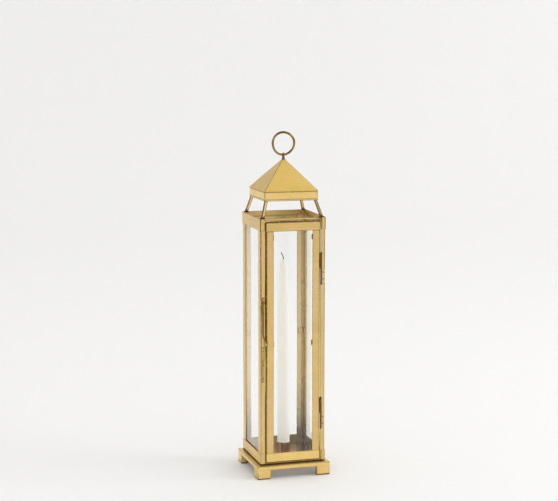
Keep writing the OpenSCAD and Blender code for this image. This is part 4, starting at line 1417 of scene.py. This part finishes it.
def makeCandle():
    low, high = box("candle_cup")
    wide, wall, floor = high[0], candleLook["cupWall"], low[2] + candleLook["cupFloor"]
    inner = wide - wall
    section = [(0, low[2]), (wide, low[2]), (wide, high[2]), (inner, high[2]), (inner, floor), (0, floor)]
    radii = np.array([0, 0.8, 0.7, 0.6, 0.8, 0]) * mm
    cup = roundTurn(denser(roundCorners(section, radii), 4 * mm), 72)
    piece("candleCup", cup, "lantern", polished, ["candle_cup"], warp=False)

    low, high = box("candle")
    base, tipZ = high[0], high[2]
    cone, well, wellFloor = candleLook["tip"], candleLook["well"], tipZ - candleLook["wellDeep"]
    shoulder = tipZ - cone
    slim, tall = base * candleLook["slim"], shoulder - low[2]
    section = [(0, low[2]), (base, low[2]), (base, low[2] + tall * 0.56), (base * 0.95, low[2] + tall * 0.77),
               (base * 0.88, low[2] + tall * 0.87), (base * 0.78, low[2] + tall * 0.96), (slim, shoulder),
               (slim * 0.93, shoulder + cone * 0.35), (slim * 0.72, shoulder + cone * 0.65),
               (slim * 0.42, shoulder + cone * 0.88), (candleLook["lip"], tipZ), (well, tipZ),
               (well, wellFloor), (0, wellFloor)]
    radii = np.array([0, 0.8, 60, 40, 30, 12, 9, 6, 6, 4, 0.5, 0.1, 0.1, 0]) * mm
    grid, bend, uv, closed = roundTurn(denser(roundCorners(section, radii), 6 * mm), 64)
    # dipping leaves the taper a little out of round, and each turn wanders with height
    angle = np.arctan2(grid[..., 1], grid[..., 0])
    z = grid[..., 2]
    swell = 1 - candleLook["wobble"] / base * (0.5 + 0.5 * np.sin(2 * angle + 9 * z) * np.sin(21 * z))
    grid = grid * np.stack([swell, swell, np.ones_like(swell)], 2)
    piece("candleTaper", (grid, bend * 0, uv, closed), "candle", wax, ["candle"],
          warp=False, smooth=60)

    low, high = box("candle_wick")
    thick, bow = candleLook["wick"], np.array([0, 0, candleLook["wickBow"]])
    bottom = np.array([0, 0, low[2] + thick])
    knee = np.array([0, 0, tipZ + candleLook["wickKnee"]])
    end = np.array([low[0] + thick, 0, high[2] - thick])
    share = np.linspace(0, 1, 26)[1:, None]
    lean = (1 - share) ** 2 * knee + 2 * share * (1 - share) * (knee + bow) + share ** 2 * end
    upright = bottom + np.linspace(0, 1, 12)[:, None] * (knee - bottom)
    path, radii = roundedRodEnds(np.vstack([upright, lean]), thick)
    grid, bend, uv, closed = rodAlong(path, radii, (0, 1, 0), 18)
    row = np.arange(grid.shape[0])[:, None]
    column = np.arange(grid.shape[1])[None]
    around = 2 * math.pi * 3 * column / grid.shape[1]
    braid = 1 + candleLook["braid"] * np.sin(around + row * 1.1)[..., None]
    core = grid.mean(axis=1, keepdims=True)
    piece("candleWick", (core + (grid - core) * braid, bend, uv, closed), "candle", wickCotton,
          ["candle_wick"], warp=False, smooth=60)


makeCandle()
print("candle made")


def finish(node, material):
    # a node that keeps its own mesh gets its finish
    nodes[node].data.materials.clear()
    nodes[node].data.materials.append(material)


# the plinth gets painted shade
finish("plinth", plinthShade)
finish("foot_pads", felt)
print("nodes kept from the frame finished")


studio = {
    "flat": 3.5,               # radius of the level floor, metres
    "bend": 4.2,               # radius of the curve up into the wall
    "wall": 7.0,               # height of the wall
    "pale": (0.885, 0.882, 0.876, 1),
    "sky": 1.03,
}


def makeStudio():
    # a floor that curves up into a wall all round: one profile turned about the middle
    quarter = np.linspace(0, math.pi / 2, 16)
    inner = np.linspace(0.05, 0.9, 6) * studio["flat"]
    outer = studio["flat"] + studio["bend"]
    radius = np.concatenate([inner, studio["flat"] + studio["bend"] * np.sin(quarter), [outer]])
    height = np.concatenate([inner * 0, studio["bend"] * (1 - np.cos(quarter)), [studio["wall"]]])
    angle = np.linspace(0, 2 * math.pi, 96, endpoint=False)
    grid = np.stack(np.broadcast_arrays(radius[:, None] * np.cos(angle), radius[:, None] * np.sin(angle),
                                        height[:, None]), 2)
    rows, columns = grid.shape[:2]
    index = np.arange(rows * columns).reshape(rows, columns)
    quads = np.stack([index[:-1], np.roll(index, -1, 1)[:-1], np.roll(index, -1, 1)[1:], index[1:]], -1)
    mesh = bpy.data.meshes.new("floor")
    faces = quads.reshape(-1, 4).tolist() + [index[0][::-1].tolist()]
    mesh.from_pydata(grid.reshape(-1, 3).tolist(), [], faces)
    mesh.shade_smooth()
    floor = bpy.data.objects.new("floor", mesh)
    bpy.context.scene.collection.objects.link(floor)
    paper = {"Base Color": studio["pale"], "Roughness": 0.9, "Specular IOR Level": 0.2}
    mesh.materials.append(newMaterial("floorPaper", paper)[0])


lamps = {
    # where it stands, where it points, width, height, strength in watts, colour
    "key": ((3.2, -1.5, 2.6), (0, 0, 0.3), 2.2, 2.2, 42.0, (1.0, 0.99, 0.97)),
    "top": ((0.2, 0.3, 4.2), (0, 0, 0.3), 3.0, 3.0, 3.0, (1.0, 1.0, 1.0)),
    "wall": ((4.6, 3.4, 3.6), (3.2, 6.0, 0.6), 1.6, 1.6, 16.0, (1.0, 1.0, 1.0)),
    "bounce": ((0.0, 0.0, 0.0165), (0.0, 0.0, 0.0), 0.12, 0.12, 0.012, (1.0, 0.93, 0.82)),
}


def makeLamps():
    for name, (at, aim, wide, tall, watts, color) in lamps.items():
        light = bpy.data.lights.new(name, "AREA")
        light.shape, light.size, light.size_y = "RECTANGLE", wide, tall
        light.energy, light.color = watts, color
        lamp = bpy.data.objects.new(name, light)
        lamp.location = at
        away = np.subtract(at, aim)
        lamp.rotation_euler = (math.atan2(math.hypot(away[0], away[1]), away[2]), 0,
                               math.atan2(away[1], away[0]) + math.pi / 2)
        lamp.visible_camera = False
        bpy.context.scene.collection.objects.link(lamp)
    world = bpy.data.worlds.new("studioAir")
    bpy.context.scene.world = world
    world.use_nodes = True
    world.node_tree.nodes["Background"].inputs["Color"].default_value = (1, 1, 1, 1)
    world.node_tree.nodes["Background"].inputs["Strength"].default_value = studio["sky"]


view = {"at": (-0.9117, -3.0447, 0.9151), "down": 8.278, "round": -16.51, "lens": 102.25, "film": 36.0}


def makeCamera():
    camera = bpy.data.cameras.new("camera")
    camera.sensor_width, camera.lens = view["film"], view["lens"]
    stand = bpy.data.objects.new("camera", camera)
    stand.location = view["at"]
    stand.rotation_euler = (math.radians(90 - view["down"]), 0, math.radians(view["round"]))
    bpy.context.scene.collection.objects.link(stand)
    bpy.context.scene.camera = stand


makeStudio()
makeLamps()
makeCamera()
scene = bpy.context.scene
scene.view_settings.view_transform = "Standard"
scene.cycles.caustics_reflective = True
scene.cycles.blur_glossy = 1.0
scene.cycles.caustics_refractive = False
print("studio ready")
